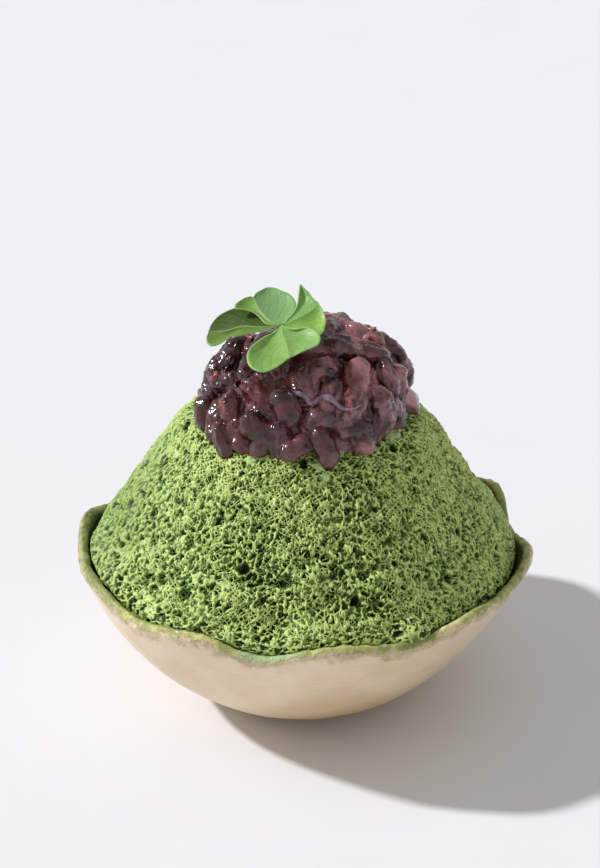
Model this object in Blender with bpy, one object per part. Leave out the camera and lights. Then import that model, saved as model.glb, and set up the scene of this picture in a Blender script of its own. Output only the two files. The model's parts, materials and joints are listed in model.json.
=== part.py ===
"""Matcha bingsu: a dome of green shaved ice in a hand-pinched stoneware bowl, topped with a
heap of sweet red beans and a four-leaf clover. Metres, +Z up, the front faces -Y.
The origin is the middle of the bowl's foot, on the table."""

import math
import random

import bmesh
import bpy
from mathutils import Matrix, Vector, noise

MM = 0.001

# Bowl
FOOT_RADIUS = 15.0
FOOT_RECESS_RADIUS = 11.0
FOOT_RECESS_DEPTH = 1.0
FOOT_EDGE = 0.8
RIM_RADIUS = 65.3
RIM_HEIGHT = 45.5
WALL_END_ANGLE = math.radians(51.0)
WALL_LEAN = 1.2
WALL_THICKNESS = 2.9
FLOOR_THICKNESS = 4.6
LIP_SWELL = 0.42
PINCH_POWER = 4
BOWL_AZIMUTHS = 60
WALL_RINGS = 7
# The pinched rim: azimuth in degrees, height and radius of each crest and each hollow between.
RIM_PINCHES = [
    (10, 39.8, 64.4), (24, 46.6, 66.0), (41, 43.2, 64.4), (60, 46.2, 65.6), (79, 43.3, 64.6),
    (98, 46.8, 65.8), (117, 43.6, 64.5), (136, 45.8, 65.4), (153, 41.3, 64.4), (173, 46.8, 65.9),
    (191, 43.6, 65.2), (207, 45.4, 65.5), (223, 43.2, 64.5), (244, 46.8, 65.6), (259, 43.0, 64.8),
    (277, 46.8, 65.9), (297, 43.8, 64.6), (317, 46.4, 65.6), (329, 44.6, 65.0), (343, 46.2, 66.4),
]

# Shaved ice: radius of the dome at each height, from just inside the rim to its flat top
ICE_PROFILE = [
    (61.6, 42.0), (61.3, 45.5), (58.6, 51.0), (52.8, 60.0), (45.8, 70.0), (38.8, 80.0),
    (34.8, 85.3), (31.0, 88.2), (24.0, 89.8), (12.0, 90.6), (0.0, 90.8),
]
ICE_AZIMUTHS = 68
ICE_UPPER_RINGS = 18
ICE_LOWER_RINGS = 3
ICE_FLOOR_RISE = 1.2
RELIEF_DEPTH = 2.4
RELIEF_SCALE = 0.29
RELIEF_LEVEL = 0.42
COARSE_RELIEF = 0.75
FINE_RELIEF = 0.55
FINE_RATIO = 2.1
FINE_SHIFT = Vector((7.3, 1.9, 4.4))
# The relief starts over the rim and ends under the beans: heights and radii from none to full
RELIEF_HEIGHTS = (46.0, 52.0)
RELIEF_RADII = (31.0, 34.0)
PIT_INWARD = 0.85
PIT_DOWNWARD = 0.5
FIT_GAP = 0.35
WALL_GAP = 0.6

# Red beans
HEAP_CENTRE = Vector((0.9, -2.6, 84.0))
CORE_RADIUS = 27.0
CORE_HEIGHT = 26.4
CORE_SIDES = 24
CORE_RINGS = 6
CORE_DEPTH = 12.0
CORE_LEAN = 1.6
# The core's lumps: how many go round, how high each is against the radius, and where they start
CORE_LUMPS = [(2, 0.05, 0.7), (5, 0.035, 0.0)]
CORE_WIDENING = 0.86
CORE_FLATTENING = 0.9
CUTTER_FIRST_RING = 5
BEAN_LENGTH = 12.4
BEAN_WIDTH = 7.4
BEAN_SIDES = 6
BEAN_RINGS = 3
BEAN_BEND = 0.9
BEAN_FLATNESS = 0.9
BEAN_TIP = 0.97
BEAN_TILT = 0.35
BEAN_SIZES = (0.84, 1.12)
BEAN_STRETCHES = (0.88, 1.12)
BEAN_DEPTHS = (-0.9, 1.5)
GOLDEN_ANGLE = 137.508
CROWN_JITTER = 9
CROWN_AIM = 4.0
CROWN_BEANS = 50
CROWN_FOOT = 0.8
SKIRT_BEANS = 19
SKIRT_CENTRE = Vector((-0.4, -2.6))
SKIRT_REACH = (25.8, 28.8)
SKIRT_RISE = 2.3
SKIRT_JITTER = 5
SKIRT_UPTURN = 0.75
BEAN_SEED = 27

# Clover: each leaflet's midrib, the reach of its two halves from the midrib, its droop at the tip
# and the taper of its lobes
CLOVER_HUB = Vector((-5.9, -12.0, 118.0))
STEM_RADIUS = 0.85
STEM_SIDES = 10
STEM_END = Vector((-3.6, -7.5, 105.8))
HUB_RISE = 0.9
LEAF_THICKNESS = 0.55
LEAF_COLUMNS = 3
WAVE_HEIGHT = 0.35
WAVE_ALONG = 5.0
WAVE_ACROSS = 2.0
# A leaflet's half outline, from its base to the notch at its tip: share of the midrib and of the reach
LEAF_OUTLINE = [
    (0.04, 0.05), (0.16, 0.18), (0.34, 0.48), (0.54, 0.82), (0.74, 1.0), (0.90, 0.95), (1.0, 0.72),
    (1.01, 0.42), (0.95, 0.16),
]
LEAF_MIDRIB = [0.02, 0.10, 0.20, 0.31, 0.43, 0.56, 0.68, 0.79, 0.88]
LEAFLETS = [
    {"along": (-19.8, -1.8, -1.9), "halves": [(-0.2, -4.2, -1.2), (1.6, 9.0, 3.4)], "droop": 1.0, "taper": 0.0},
    {"along": (-9.6, 16.0, 2.6), "halves": [(-3.6, -3.2, 0.0), (9.6, 1.8, 2.2)], "droop": 0.4, "taper": 0.0},
    {"along": (12.6, 12.8, 1.8), "halves": [(-5.0, 4.0, 6.2), (2.2, -6.2, -4.6)], "droop": 0.3, "taper": 0.22},
    {"along": (2.2, -15.8, -2.6), "halves": [(8.8, 4.4, 2.8), (-10.6, -3.2, -2.4)], "droop": 1.4, "taper": 0.0},
]


def clear_scene():
    """Removes whatever the file holds."""
    for obj in list(bpy.data.objects):
        bpy.data.objects.remove(obj, do_unlink=True)


def make_material(name, colour, roughness):
    """A plain Principled material."""
    material = bpy.data.materials.new(name)
    material.use_nodes = True
    shader = material.node_tree.nodes["Principled BSDF"]
    shader.inputs["Base Color"].default_value = (*colour, 1.0)
    shader.inputs["Roughness"].default_value = roughness
    return material


def make_object(name, vertices, faces, material=None):
    """A mesh object from points in millimetres."""
    mesh = bpy.data.meshes.new(name)
    mesh.from_pydata([Vector(v) * MM for v in vertices], [], faces)
    mesh.update()
    obj = bpy.data.objects.new(name, mesh)
    bpy.context.scene.collection.objects.link(obj)
    if material:
        mesh.materials.append(material)
    return obj


def interpolate(table, x):
    """The second column at x, straight between the rows of a rising table."""
    for (x0, y0), (x1, y1) in zip(table, table[1:]):
        if x <= x1:
            return y0 + (y1 - y0) * max(0.0, x - x0) / (x1 - x0)
    return table[-1][1]


def smooth_profile(points, steps):
    """A Catmull-Rom curve through radius and height pairs, read at even steps."""
    padded = [points[0], *points, points[-1]]
    spans = len(points) - 1
    curve = []
    for i in range(steps + 1):
        at = i / steps * spans
        k = min(int(at), spans - 1)
        t = at - k
        p0, p1, p2, p3 = padded[k:k + 4]
        curve.append(tuple(
            0.5 * (2 * b + (c - a) * t + (2 * a - 5 * b + 4 * c - d) * t**2 + (3 * b - a - 3 * c + d) * t**3)
            for a, b, c, d in zip(p0, p1, p2, p3)
        ))
    return curve


def rim_at(azimuth):
    """Height and radius of the pinched rim at an azimuth in degrees."""
    turn = azimuth % 360
    ring = [(RIM_PINCHES[-1][0] - 360, *RIM_PINCHES[-1][1:]), *RIM_PINCHES,
            (RIM_PINCHES[0][0] + 360, *RIM_PINCHES[0][1:])]
    for (a0, h0, r0), (a1, h1, r1) in zip(ring, ring[1:]):
        if a0 <= turn <= a1:
            blend = 0.5 - 0.5 * math.cos(math.pi * (turn - a0) / (a1 - a0))
            return h0 + (h1 - h0) * blend, r0 + (r1 - r0) * blend
    return RIM_HEIGHT, RIM_RADIUS


def wall_profile(azimuth, rings):
    """The outer wall from foot to rim at one azimuth: radius, height and outward normal."""
    rim_height, rim_radius = rim_at(azimuth)
    profile = []
    for k in range(rings + 1):
        share = k / rings
        angle = share * WALL_END_ANGLE
        across = math.sin(angle) / math.sin(WALL_END_ANGLE)
        up = (1 - math.cos(angle)) / (1 - math.cos(WALL_END_ANGLE))
        pinch = share**PINCH_POWER
        radius = FOOT_RADIUS + (RIM_RADIUS - FOOT_RADIUS) * across + (rim_radius - RIM_RADIUS) * pinch
        height = RIM_HEIGHT * up + (rim_height - RIM_HEIGHT) * pinch
        slope_r = (RIM_RADIUS - FOOT_RADIUS) * math.cos(angle) / math.sin(WALL_END_ANGLE)
        slope_z = RIM_HEIGHT * math.sin(angle) / (1 - math.cos(WALL_END_ANGLE))
        size = math.hypot(slope_r, slope_z)
        profile.append((radius, height, slope_z / size, -slope_r / size))
    return profile


def inner_profile(azimuth, rings):
    """The inner wall from the bowl's floor to the rim at one azimuth: radius and height."""
    points = []
    for k, (radius, height, out_r, out_z) in enumerate(wall_profile(azimuth, rings)):
        thick = FLOOR_THICKNESS + (WALL_THICKNESS - FLOOR_THICKNESS) * k / rings
        points.append((radius - out_r * thick, height - out_z * thick))
    return points


def lathe(rows, azimuths, close_bottom, close_top):
    """Vertices and faces of a closed turned shape: rows of point functions, from its bottom up."""
    vertices, faces = [], []
    for row in rows:
        for i in range(azimuths):
            vertices.append(row[i])
    for k in range(len(rows) - 1):
        for i in range(azimuths):
            j = (i + 1) % azimuths
            a, b = k * azimuths + i, k * azimuths + j
            faces.append((a, b, b + azimuths))
            faces.append((a, b + azimuths, a + azimuths))
    last = (len(rows) - 1) * azimuths
    for i in range(azimuths):
        j = (i + 1) % azimuths
        faces.append((j, i, len(vertices)))
        faces.append((last + i, last + j, len(vertices) + 1))
    vertices += [close_bottom, close_top]
    return vertices, faces


def around(radius, height, azimuth, shift=0.0):
    """A point at a radius, a height and an azimuth in degrees, moved along X."""
    turn = math.radians(azimuth)
    return (radius * math.cos(turn) + shift, radius * math.sin(turn), height)


def wall_shift(height):
    """How far the hand-made wall leans to -X at a height: none at the foot and none at the rim."""
    return -WALL_LEAN * math.sin(math.pi * min(1.0, max(0.0, height / RIM_HEIGHT)))


def build_bowl(material):
    """The stoneware bowl: foot with a shallow recess, flared wall, rounded pinched lip, inside."""
    turns = [360 * i / BOWL_AZIMUTHS for i in range(BOWL_AZIMUTHS)]
    outer = [wall_profile(a, WALL_RINGS) for a in turns]
    inner = [inner_profile(a, WALL_RINGS) for a in turns]
    rows = [
        [around(FOOT_RECESS_RADIUS - FOOT_EDGE, FOOT_RECESS_DEPTH, a) for a in turns],
        [around(FOOT_RECESS_RADIUS, 0.0, a) for a in turns],
    ]
    for k in range(WALL_RINGS + 1):
        rows.append([around(p[k][0], p[k][1], a, wall_shift(p[k][1])) for p, a in zip(outer, turns)])
    for side in (0.25, 0.5, 0.75):
        lip = []
        for p, q, a in zip(outer, inner, turns):
            (r0, z0), (r1, z1) = p[-1][:2], q[-1]
            swell = LIP_SWELL * WALL_THICKNESS * math.sin(math.pi * side)
            lip.append(around(r0 + (r1 - r0) * side + swell * 0.2, z0 + (z1 - z0) * side + swell, a))
        rows.append(lip)
    for k in range(WALL_RINGS, 0, -1):
        rows.append([around(*q[k], a, wall_shift(q[k][1])) for q, a in zip(inner, turns)])
    vertices, faces = lathe(rows, BOWL_AZIMUTHS, (0, 0, FOOT_RECESS_DEPTH), (0, 0, FLOOR_THICKNESS))
    return make_object("bowl", vertices, faces, material)


def relief(point, strength):
    """Depth of the porous surface at a point: pits and furrows between ridges of shaved ice."""
    coarse = noise.noise(point * RELIEF_SCALE)
    fine = noise.noise(point * RELIEF_SCALE * FINE_RATIO + FINE_SHIFT)
    depth = RELIEF_LEVEL + COARSE_RELIEF * coarse + FINE_RELIEF * fine
    return strength * RELIEF_DEPTH * min(1.0, max(0.0, depth))


def share_between(value, limits):
    """How far a value lies between two limits, from 0 to 1."""
    return min(1.0, max(0.0, (value - limits[0]) / (limits[1] - limits[0])))


def build_ice(material):
    """The dome of shaved ice, which fills the bowl and narrows to a flat top under the beans."""
    turns = [360 * i / ICE_AZIMUTHS for i in range(ICE_AZIMUTHS)]
    walls = [inner_profile(a, WALL_RINGS) for a in turns]
    dome = smooth_profile(ICE_PROFILE, ICE_UPPER_RINGS)
    floor = FLOOR_THICKNESS + ICE_FLOOR_RISE
    rows = []
    for k in range(1, ICE_LOWER_RINGS + 1):
        share = k / (ICE_LOWER_RINGS + 1)
        ring = []
        for wall, a in zip(walls, turns):
            height = floor + (ICE_PROFILE[0][1] - floor) * share**1.4
            radius = interpolate([(z, r) for r, z in wall], height)
            ring.append(around(radius - WALL_GAP, height + FIT_GAP, a, wall_shift(height)))
        rows.append(ring)
    for radius, height in dome[:-1]:
        ring = []
        for wall, a in zip(walls, turns):
            room = interpolate([(z, r) for r, z in wall], height) - WALL_GAP
            strength = share_between(height, RELIEF_HEIGHTS) * share_between(radius, RELIEF_RADII)
            pit = relief(Vector(around(radius, height, a)), strength)
            if height < wall[-1][1] + 1.0:
                radius_here = min(radius, room)
            else:
                radius_here = radius
            ring.append(around(radius_here - pit * PIT_INWARD, height - pit * PIT_DOWNWARD, a))
        rows.append(ring)
    vertices, faces = lathe(rows, ICE_AZIMUTHS, (0, 0, FLOOR_THICKNESS + FIT_GAP), (0, 0, dome[-1][1]))
    return make_object("shaved_ice", vertices, faces, material)


def core_point(azimuth, polar, stand_off=0.0):
    """A point on the heap's core: polar 0 is its top and 1 its foot. It leans up to the right."""
    turn, tilt = math.radians(azimuth), polar * math.pi / 2
    lump = 1 + sum(height * math.sin(count * turn + start) for count, height, start in CORE_LUMPS)
    across = (CORE_RADIUS * lump + stand_off) * math.sin(tilt) ** CORE_WIDENING
    up = (CORE_HEIGHT + stand_off) * math.cos(tilt) ** CORE_FLATTENING
    lean = CORE_LEAN * math.cos(turn) * math.sin(math.pi * polar)
    return HEAP_CENTRE + Vector((across * math.cos(turn), across * math.sin(turn), up + lean))


def dome_height(radius):
    """Height of the dome's bare form at a radius."""
    dome = smooth_profile(ICE_PROFILE, 60)
    return interpolate([(r, z) for r, z in reversed(dome)], radius)


def bean_site(centre, outward, draw):
    """A bean's place, axes and size, lying at random across the outward direction."""
    heading = Vector((draw.gauss(0, 1), draw.gauss(0, 1), draw.gauss(0, 0.8)))
    along = heading.cross(outward).normalized()
    along = (along + outward * draw.uniform(-BEAN_TILT, BEAN_TILT)).normalized()
    side = outward.cross(along).normalized()
    return centre, along, side, draw.uniform(*BEAN_SIZES), draw.uniform(*BEAN_STRETCHES)


def bean_sites():
    """The beans that show: a jittered golden-angle spiral over the core, and a skirt on the dome."""
    draw = random.Random(BEAN_SEED)
    sites = []
    for i in range(CROWN_BEANS):
        share = (i + 0.5) / CROWN_BEANS * CROWN_FOOT
        polar = math.acos(1 - share) / (math.pi / 2)
        azimuth = i * GOLDEN_ANGLE + draw.uniform(-CROWN_JITTER, CROWN_JITTER)
        centre = core_point(azimuth, polar, draw.uniform(*BEAN_DEPTHS))
        outward = (centre - HEAP_CENTRE - Vector((0, 0, CROWN_AIM))).normalized()
        sites.append(bean_site(centre, outward, draw))
    for i in range(SKIRT_BEANS):
        azimuth = math.radians(360 * i / SKIRT_BEANS + draw.uniform(-SKIRT_JITTER, SKIRT_JITTER))
        reach = draw.uniform(*SKIRT_REACH)
        x = SKIRT_CENTRE.x + reach * math.cos(azimuth)
        y = SKIRT_CENTRE.y + reach * math.sin(azimuth)
        centre = Vector((x, y, dome_height(math.hypot(x, y)) + SKIRT_RISE))
        outward = Vector((math.cos(azimuth), math.sin(azimuth), SKIRT_UPTURN)).normalized()
        sites.append(bean_site(centre, outward, draw))
    return sites


def bean_mesh(name, centre, along, side, size, stretch):
    """One red bean: a plump, slightly bent ellipsoid with few sides, its ends on its long axis."""
    turn = Matrix((along, side, along.cross(side))).transposed()
    length, width = BEAN_LENGTH * stretch * size / 2, BEAN_WIDTH * size / 2

    def place(share, angle):
        """A point at a share of the half length and an angle round it."""
        girth = width * (1 - abs(share) ** 3) ** 0.5
        bend = BEAN_BEND * size * (share**2 - 0.5)
        across = girth * math.cos(angle) + bend
        return tuple(centre + turn @ Vector((length * share, across, girth * BEAN_FLATNESS * math.sin(angle))))

    rows = []
    for k in range(BEAN_RINGS):
        share = math.sin(math.pi / 2 * (2 * (k + 1) / (BEAN_RINGS + 1) - 1)) * 0.95
        rows.append([place(share, math.tau * i / BEAN_SIDES) for i in range(BEAN_SIDES)])
    vertices, faces = lathe(rows, BEAN_SIDES, place(-BEAN_TIP, 0), place(BEAN_TIP, 0))
    return make_object(name, vertices, faces)


def apply_modifiers(obj):
    """Turns the object's modifiers into its mesh."""
    depsgraph = bpy.context.evaluated_depsgraph_get()
    mesh = bpy.data.meshes.new_from_object(obj.evaluated_get(depsgraph))
    obj.modifiers.clear()
    obj.data = mesh


def keep_largest_body(obj):
    """Drops loose scraps and sealed hollows, which are separate islands of the mesh."""
    bm = bmesh.new()
    bm.from_mesh(obj.data)
    bmesh.ops.triangulate(bm, faces=bm.faces)
    unseen = set(bm.verts)
    islands = []
    while unseen:
        stack = [unseen.pop()]
        island = set(stack)
        while stack:
            for edge in stack.pop().link_edges:
                for v in edge.verts:
                    if v in unseen:
                        unseen.discard(v)
                        island.add(v)
                        stack.append(v)
        islands.append(island)
    largest = max(islands, key=len)
    bmesh.ops.delete(bm, geom=[v for v in bm.verts if v not in largest], context="VERTS")
    bm.to_mesh(obj.data)
    bm.free()


def fuse(obj, members):
    """Joins the member objects to obj by one Boolean union on a collection, then removes them."""
    group = bpy.data.collections.new(obj.name + "_members")
    bpy.context.scene.collection.children.link(group)
    for member in members:
        if member.name not in group.objects:
            group.objects.link(member)
    union = obj.modifiers.new("union", "BOOLEAN")
    union.operation = "UNION"
    union.operand_type = "COLLECTION"
    union.collection = group
    union.solver = "EXACT"
    bpy.context.view_layer.update()
    apply_modifiers(obj)
    for member in members:
        bpy.data.objects.remove(member, do_unlink=True)
    bpy.data.collections.remove(group)
    keep_largest_body(obj)


def cut(obj, cutter):
    """Cuts the closed cutter out of obj, then removes it."""
    difference = obj.modifiers.new("cut", "BOOLEAN")
    difference.operation = "DIFFERENCE"
    difference.object = cutter
    difference.solver = "MANIFOLD"
    bpy.context.view_layer.update()
    apply_modifiers(obj)
    bpy.data.objects.remove(cutter, do_unlink=True)
    keep_largest_body(obj)


def build_core(material):
    """The heap's bare core, closed under the level of the dome's flat top."""
    turns = [360 * i / CORE_SIDES for i in range(CORE_SIDES)]
    drop = Vector((0, 0, CORE_DEPTH))
    rows = [[tuple(core_point(a, 1.0) - drop) for a in turns]]
    for k in range(CORE_RINGS):
        rows.append([tuple(core_point(a, 1.0 - k / CORE_RINGS)) for a in turns])
    foot = HEAP_CENTRE - drop
    vertices, faces = lathe(rows, len(turns), tuple(foot), tuple(core_point(0, 0)))
    return make_object("red_beans", vertices, faces, material)


def dome_cutter():
    """The dome's bare form, enlarged by the fit gap, to cut the heap's underside."""
    turns = [360 * i / ICE_AZIMUTHS for i in range(ICE_AZIMUTHS)]
    dome = smooth_profile(ICE_PROFILE, ICE_UPPER_RINGS)
    rows = [[around(r + FIT_GAP, z + FIT_GAP, a) for a in turns] for r, z in dome[CUTTER_FIRST_RING:-1]]
    top = dome[-1][1] + FIT_GAP
    vertices, faces = lathe(rows, ICE_AZIMUTHS, (0, 0, rows[0][0][2]), (0, 0, top))
    return make_object("dome_cutter", vertices, faces)


def stem_tube(name, radius, start, end):
    """A straight round tube, the clover's stem or the hole for it."""
    axis = end - start
    turn = axis.to_track_quat("Z", "Y").to_matrix()
    rows = []
    for share in (0.0, 1.0):
        rows.append([
            tuple(start + axis * share + turn @ Vector((radius * math.cos(a), radius * math.sin(a), 0)))
            for a in (math.tau * i / STEM_SIDES for i in range(STEM_SIDES))
        ])
    vertices, faces = lathe(rows, STEM_SIDES, tuple(start), tuple(end))
    return make_object(name, vertices, faces)


def build_beans(material):
    """The heap of red beans: core and beans fused, cut clear of the dome and the clover's stem."""
    heap = build_core(material)
    fuse(heap, [bean_mesh(f"bean_{i}", *site) for i, site in enumerate(bean_sites())])
    cut(heap, dome_cutter())
    beyond = (STEM_END - CLOVER_HUB).normalized() * FIT_GAP
    cut(heap, stem_tube("stem_hole", STEM_RADIUS + FIT_GAP, STEM_END + beyond, CLOVER_HUB))
    return heap


def leaflet(name, along, halves, droop, taper):
    """One leaflet: a thin wavy solid, folded on its midrib, notched at the tip, both faces alike."""
    along = Vector(along)
    halves = [Vector(half) for half in halves]
    up = along.cross(halves[0] - halves[1]).normalized()
    if up.z < 0:
        up.negate()
    grid = {}
    for i, ((reach, width), middle) in enumerate(zip(LEAF_OUTLINE, LEAF_MIDRIB)):
        for j in range(-LEAF_COLUMNS, LEAF_COLUMNS + 1):
            spread = abs(j) / LEAF_COLUMNS
            out = middle + (reach * (1 - taper * width) - middle) * spread
            point = CLOVER_HUB + along * out + halves[0 if j > 0 else 1] * width * spread
            wave = WAVE_HEIGHT * spread * math.sin(WAVE_ALONG * reach + WAVE_ACROSS * j / LEAF_COLUMNS)
            point += up * (wave - droop * out**2)
            for face in (0, 1):
                grid[i, j, face] = point + up * LEAF_THICKNESS * (face - 0.5)
    index = {key: n for n, key in enumerate(grid)}
    last = len(LEAF_OUTLINE) - 1
    faces = []
    for i in range(last):
        for j in range(-LEAF_COLUMNS, LEAF_COLUMNS):
            for face in (0, 1):
                a, b = index[i, j, face], index[i, j + 1, face]
                c, d = index[i + 1, j + 1, face], index[i + 1, j, face]
                faces += [(a, d, c), (a, c, b)] if face else [(a, c, d), (a, b, c)]
    columns = range(-LEAF_COLUMNS, LEAF_COLUMNS)
    border = [(0, j) for j in columns] + [(i, LEAF_COLUMNS) for i in range(last)]
    border += [(last, -j) for j in columns] + [(i, -LEAF_COLUMNS) for i in range(last, 0, -1)]
    for (i0, j0), (i1, j1) in zip(border, border[1:] + border[:1]):
        a, b = index[i0, j0, 0], index[i1, j1, 0]
        c, d = index[i1, j1, 1], index[i0, j0, 1]
        faces += [(a, c, b), (a, d, c)]
    obj = make_object(name, [tuple(point) for point in grid.values()], faces)
    bm = bmesh.new()
    bm.from_mesh(obj.data)
    bmesh.ops.recalc_face_normals(bm, faces=bm.faces)
    bm.to_mesh(obj.data)
    bm.free()
    return obj


def build_clover(material):
    """The four-leaf clover: a stem with a small hub, and four leaflets fused to it."""
    clover = stem_tube("clover", STEM_RADIUS, STEM_END, CLOVER_HUB + Vector((0, 0, HUB_RISE)))
    clover.data.materials.append(material)
    fuse(clover, [leaflet(f"leaflet_{i}", **spec) for i, spec in enumerate(LEAFLETS)])
    return clover


def main():
    """Builds the four solids."""
    clear_scene()
    build_bowl(make_material("stoneware", (0.56, 0.44, 0.31), 0.45))
    build_ice(make_material("matcha_ice", (0.29, 0.45, 0.12), 0.8))
    build_beans(make_material("sweet_beans", (0.13, 0.035, 0.04), 0.25))
    build_clover(make_material("clover_leaf", (0.17, 0.42, 0.08), 0.5))


main()
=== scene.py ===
"""Looks of a matcha bingsu: foam-like shaved ice in a pinched stoneware bowl, sweet beans, a clover.

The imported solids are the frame. Each of the four is replaced here by finer pieces of the same form,
made from the same driving sizes. Sizes are in millimetres until a mesh is made, which is in metres.
"""

import json
import logging
import math
import random
from collections.abc import Iterator
from contextlib import contextmanager
from dataclasses import dataclass, field
from enum import Enum
from functools import lru_cache

import bpy
import numpy as np
from mathutils import Matrix, Vector, noise
from mathutils.kdtree import KDTree

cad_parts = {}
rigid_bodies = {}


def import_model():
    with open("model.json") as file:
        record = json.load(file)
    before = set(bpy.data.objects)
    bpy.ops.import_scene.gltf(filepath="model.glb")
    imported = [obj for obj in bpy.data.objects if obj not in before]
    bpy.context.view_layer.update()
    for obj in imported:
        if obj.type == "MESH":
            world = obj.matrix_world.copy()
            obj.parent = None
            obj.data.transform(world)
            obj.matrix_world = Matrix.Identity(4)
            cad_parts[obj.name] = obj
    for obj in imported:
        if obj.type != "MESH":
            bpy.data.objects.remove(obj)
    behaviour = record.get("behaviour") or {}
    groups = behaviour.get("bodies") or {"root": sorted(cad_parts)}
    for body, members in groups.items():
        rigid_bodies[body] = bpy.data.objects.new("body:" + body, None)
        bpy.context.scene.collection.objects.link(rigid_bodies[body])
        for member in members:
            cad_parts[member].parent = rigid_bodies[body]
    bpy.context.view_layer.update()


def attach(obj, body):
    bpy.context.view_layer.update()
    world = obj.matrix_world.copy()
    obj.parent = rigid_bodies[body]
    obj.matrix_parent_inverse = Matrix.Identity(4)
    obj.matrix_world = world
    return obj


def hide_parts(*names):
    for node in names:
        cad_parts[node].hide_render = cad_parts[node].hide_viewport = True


LOG = logging.getLogger("bingsu")
MM = 0.001
SIGHT = math.radians(26.6)
GOLDEN_ANGLE = 137.508
HALF = (0.5, 0.5, 0.5)
LEVEL = (1.0, 1.0, 0.0)
Colour = tuple[float, float, float, float]
Place = tuple[float, float, float]
Profile = list[tuple[float, float]]
Socket = bpy.types.NodeSocket


class Slot(Enum):
    """The record's material slots."""

    STONEWARE = "stoneware"
    ICE = "matcha_ice"
    BEANS = "sweet_beans"
    CLOVER = "clover_leaf"


class BeanKind(Enum):
    """How a cooked bean has kept its skin."""

    PLUMP = "plump"
    WRINKLED = "wrinkled"
    SPLIT = "split"


def paint(red: int, green: int, blue: int) -> Colour:
    """Turns a colour as seen on a screen, 0 to 255, into the linear colour that a shader takes.

    Args:
        red: Red, 0 to 255.
        green: Green, 0 to 255.
        blue: Blue, 0 to 255.

    Returns:
        Linear red, green, blue and an alpha of 1.
    """
    linear = []
    for value in (red, green, blue):
        share = value / 255
        linear.append(share / 12.92 if share <= 0.04045 else ((share + 0.055) / 1.055) ** 2.4)
    return (*linear, 1.0)


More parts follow.
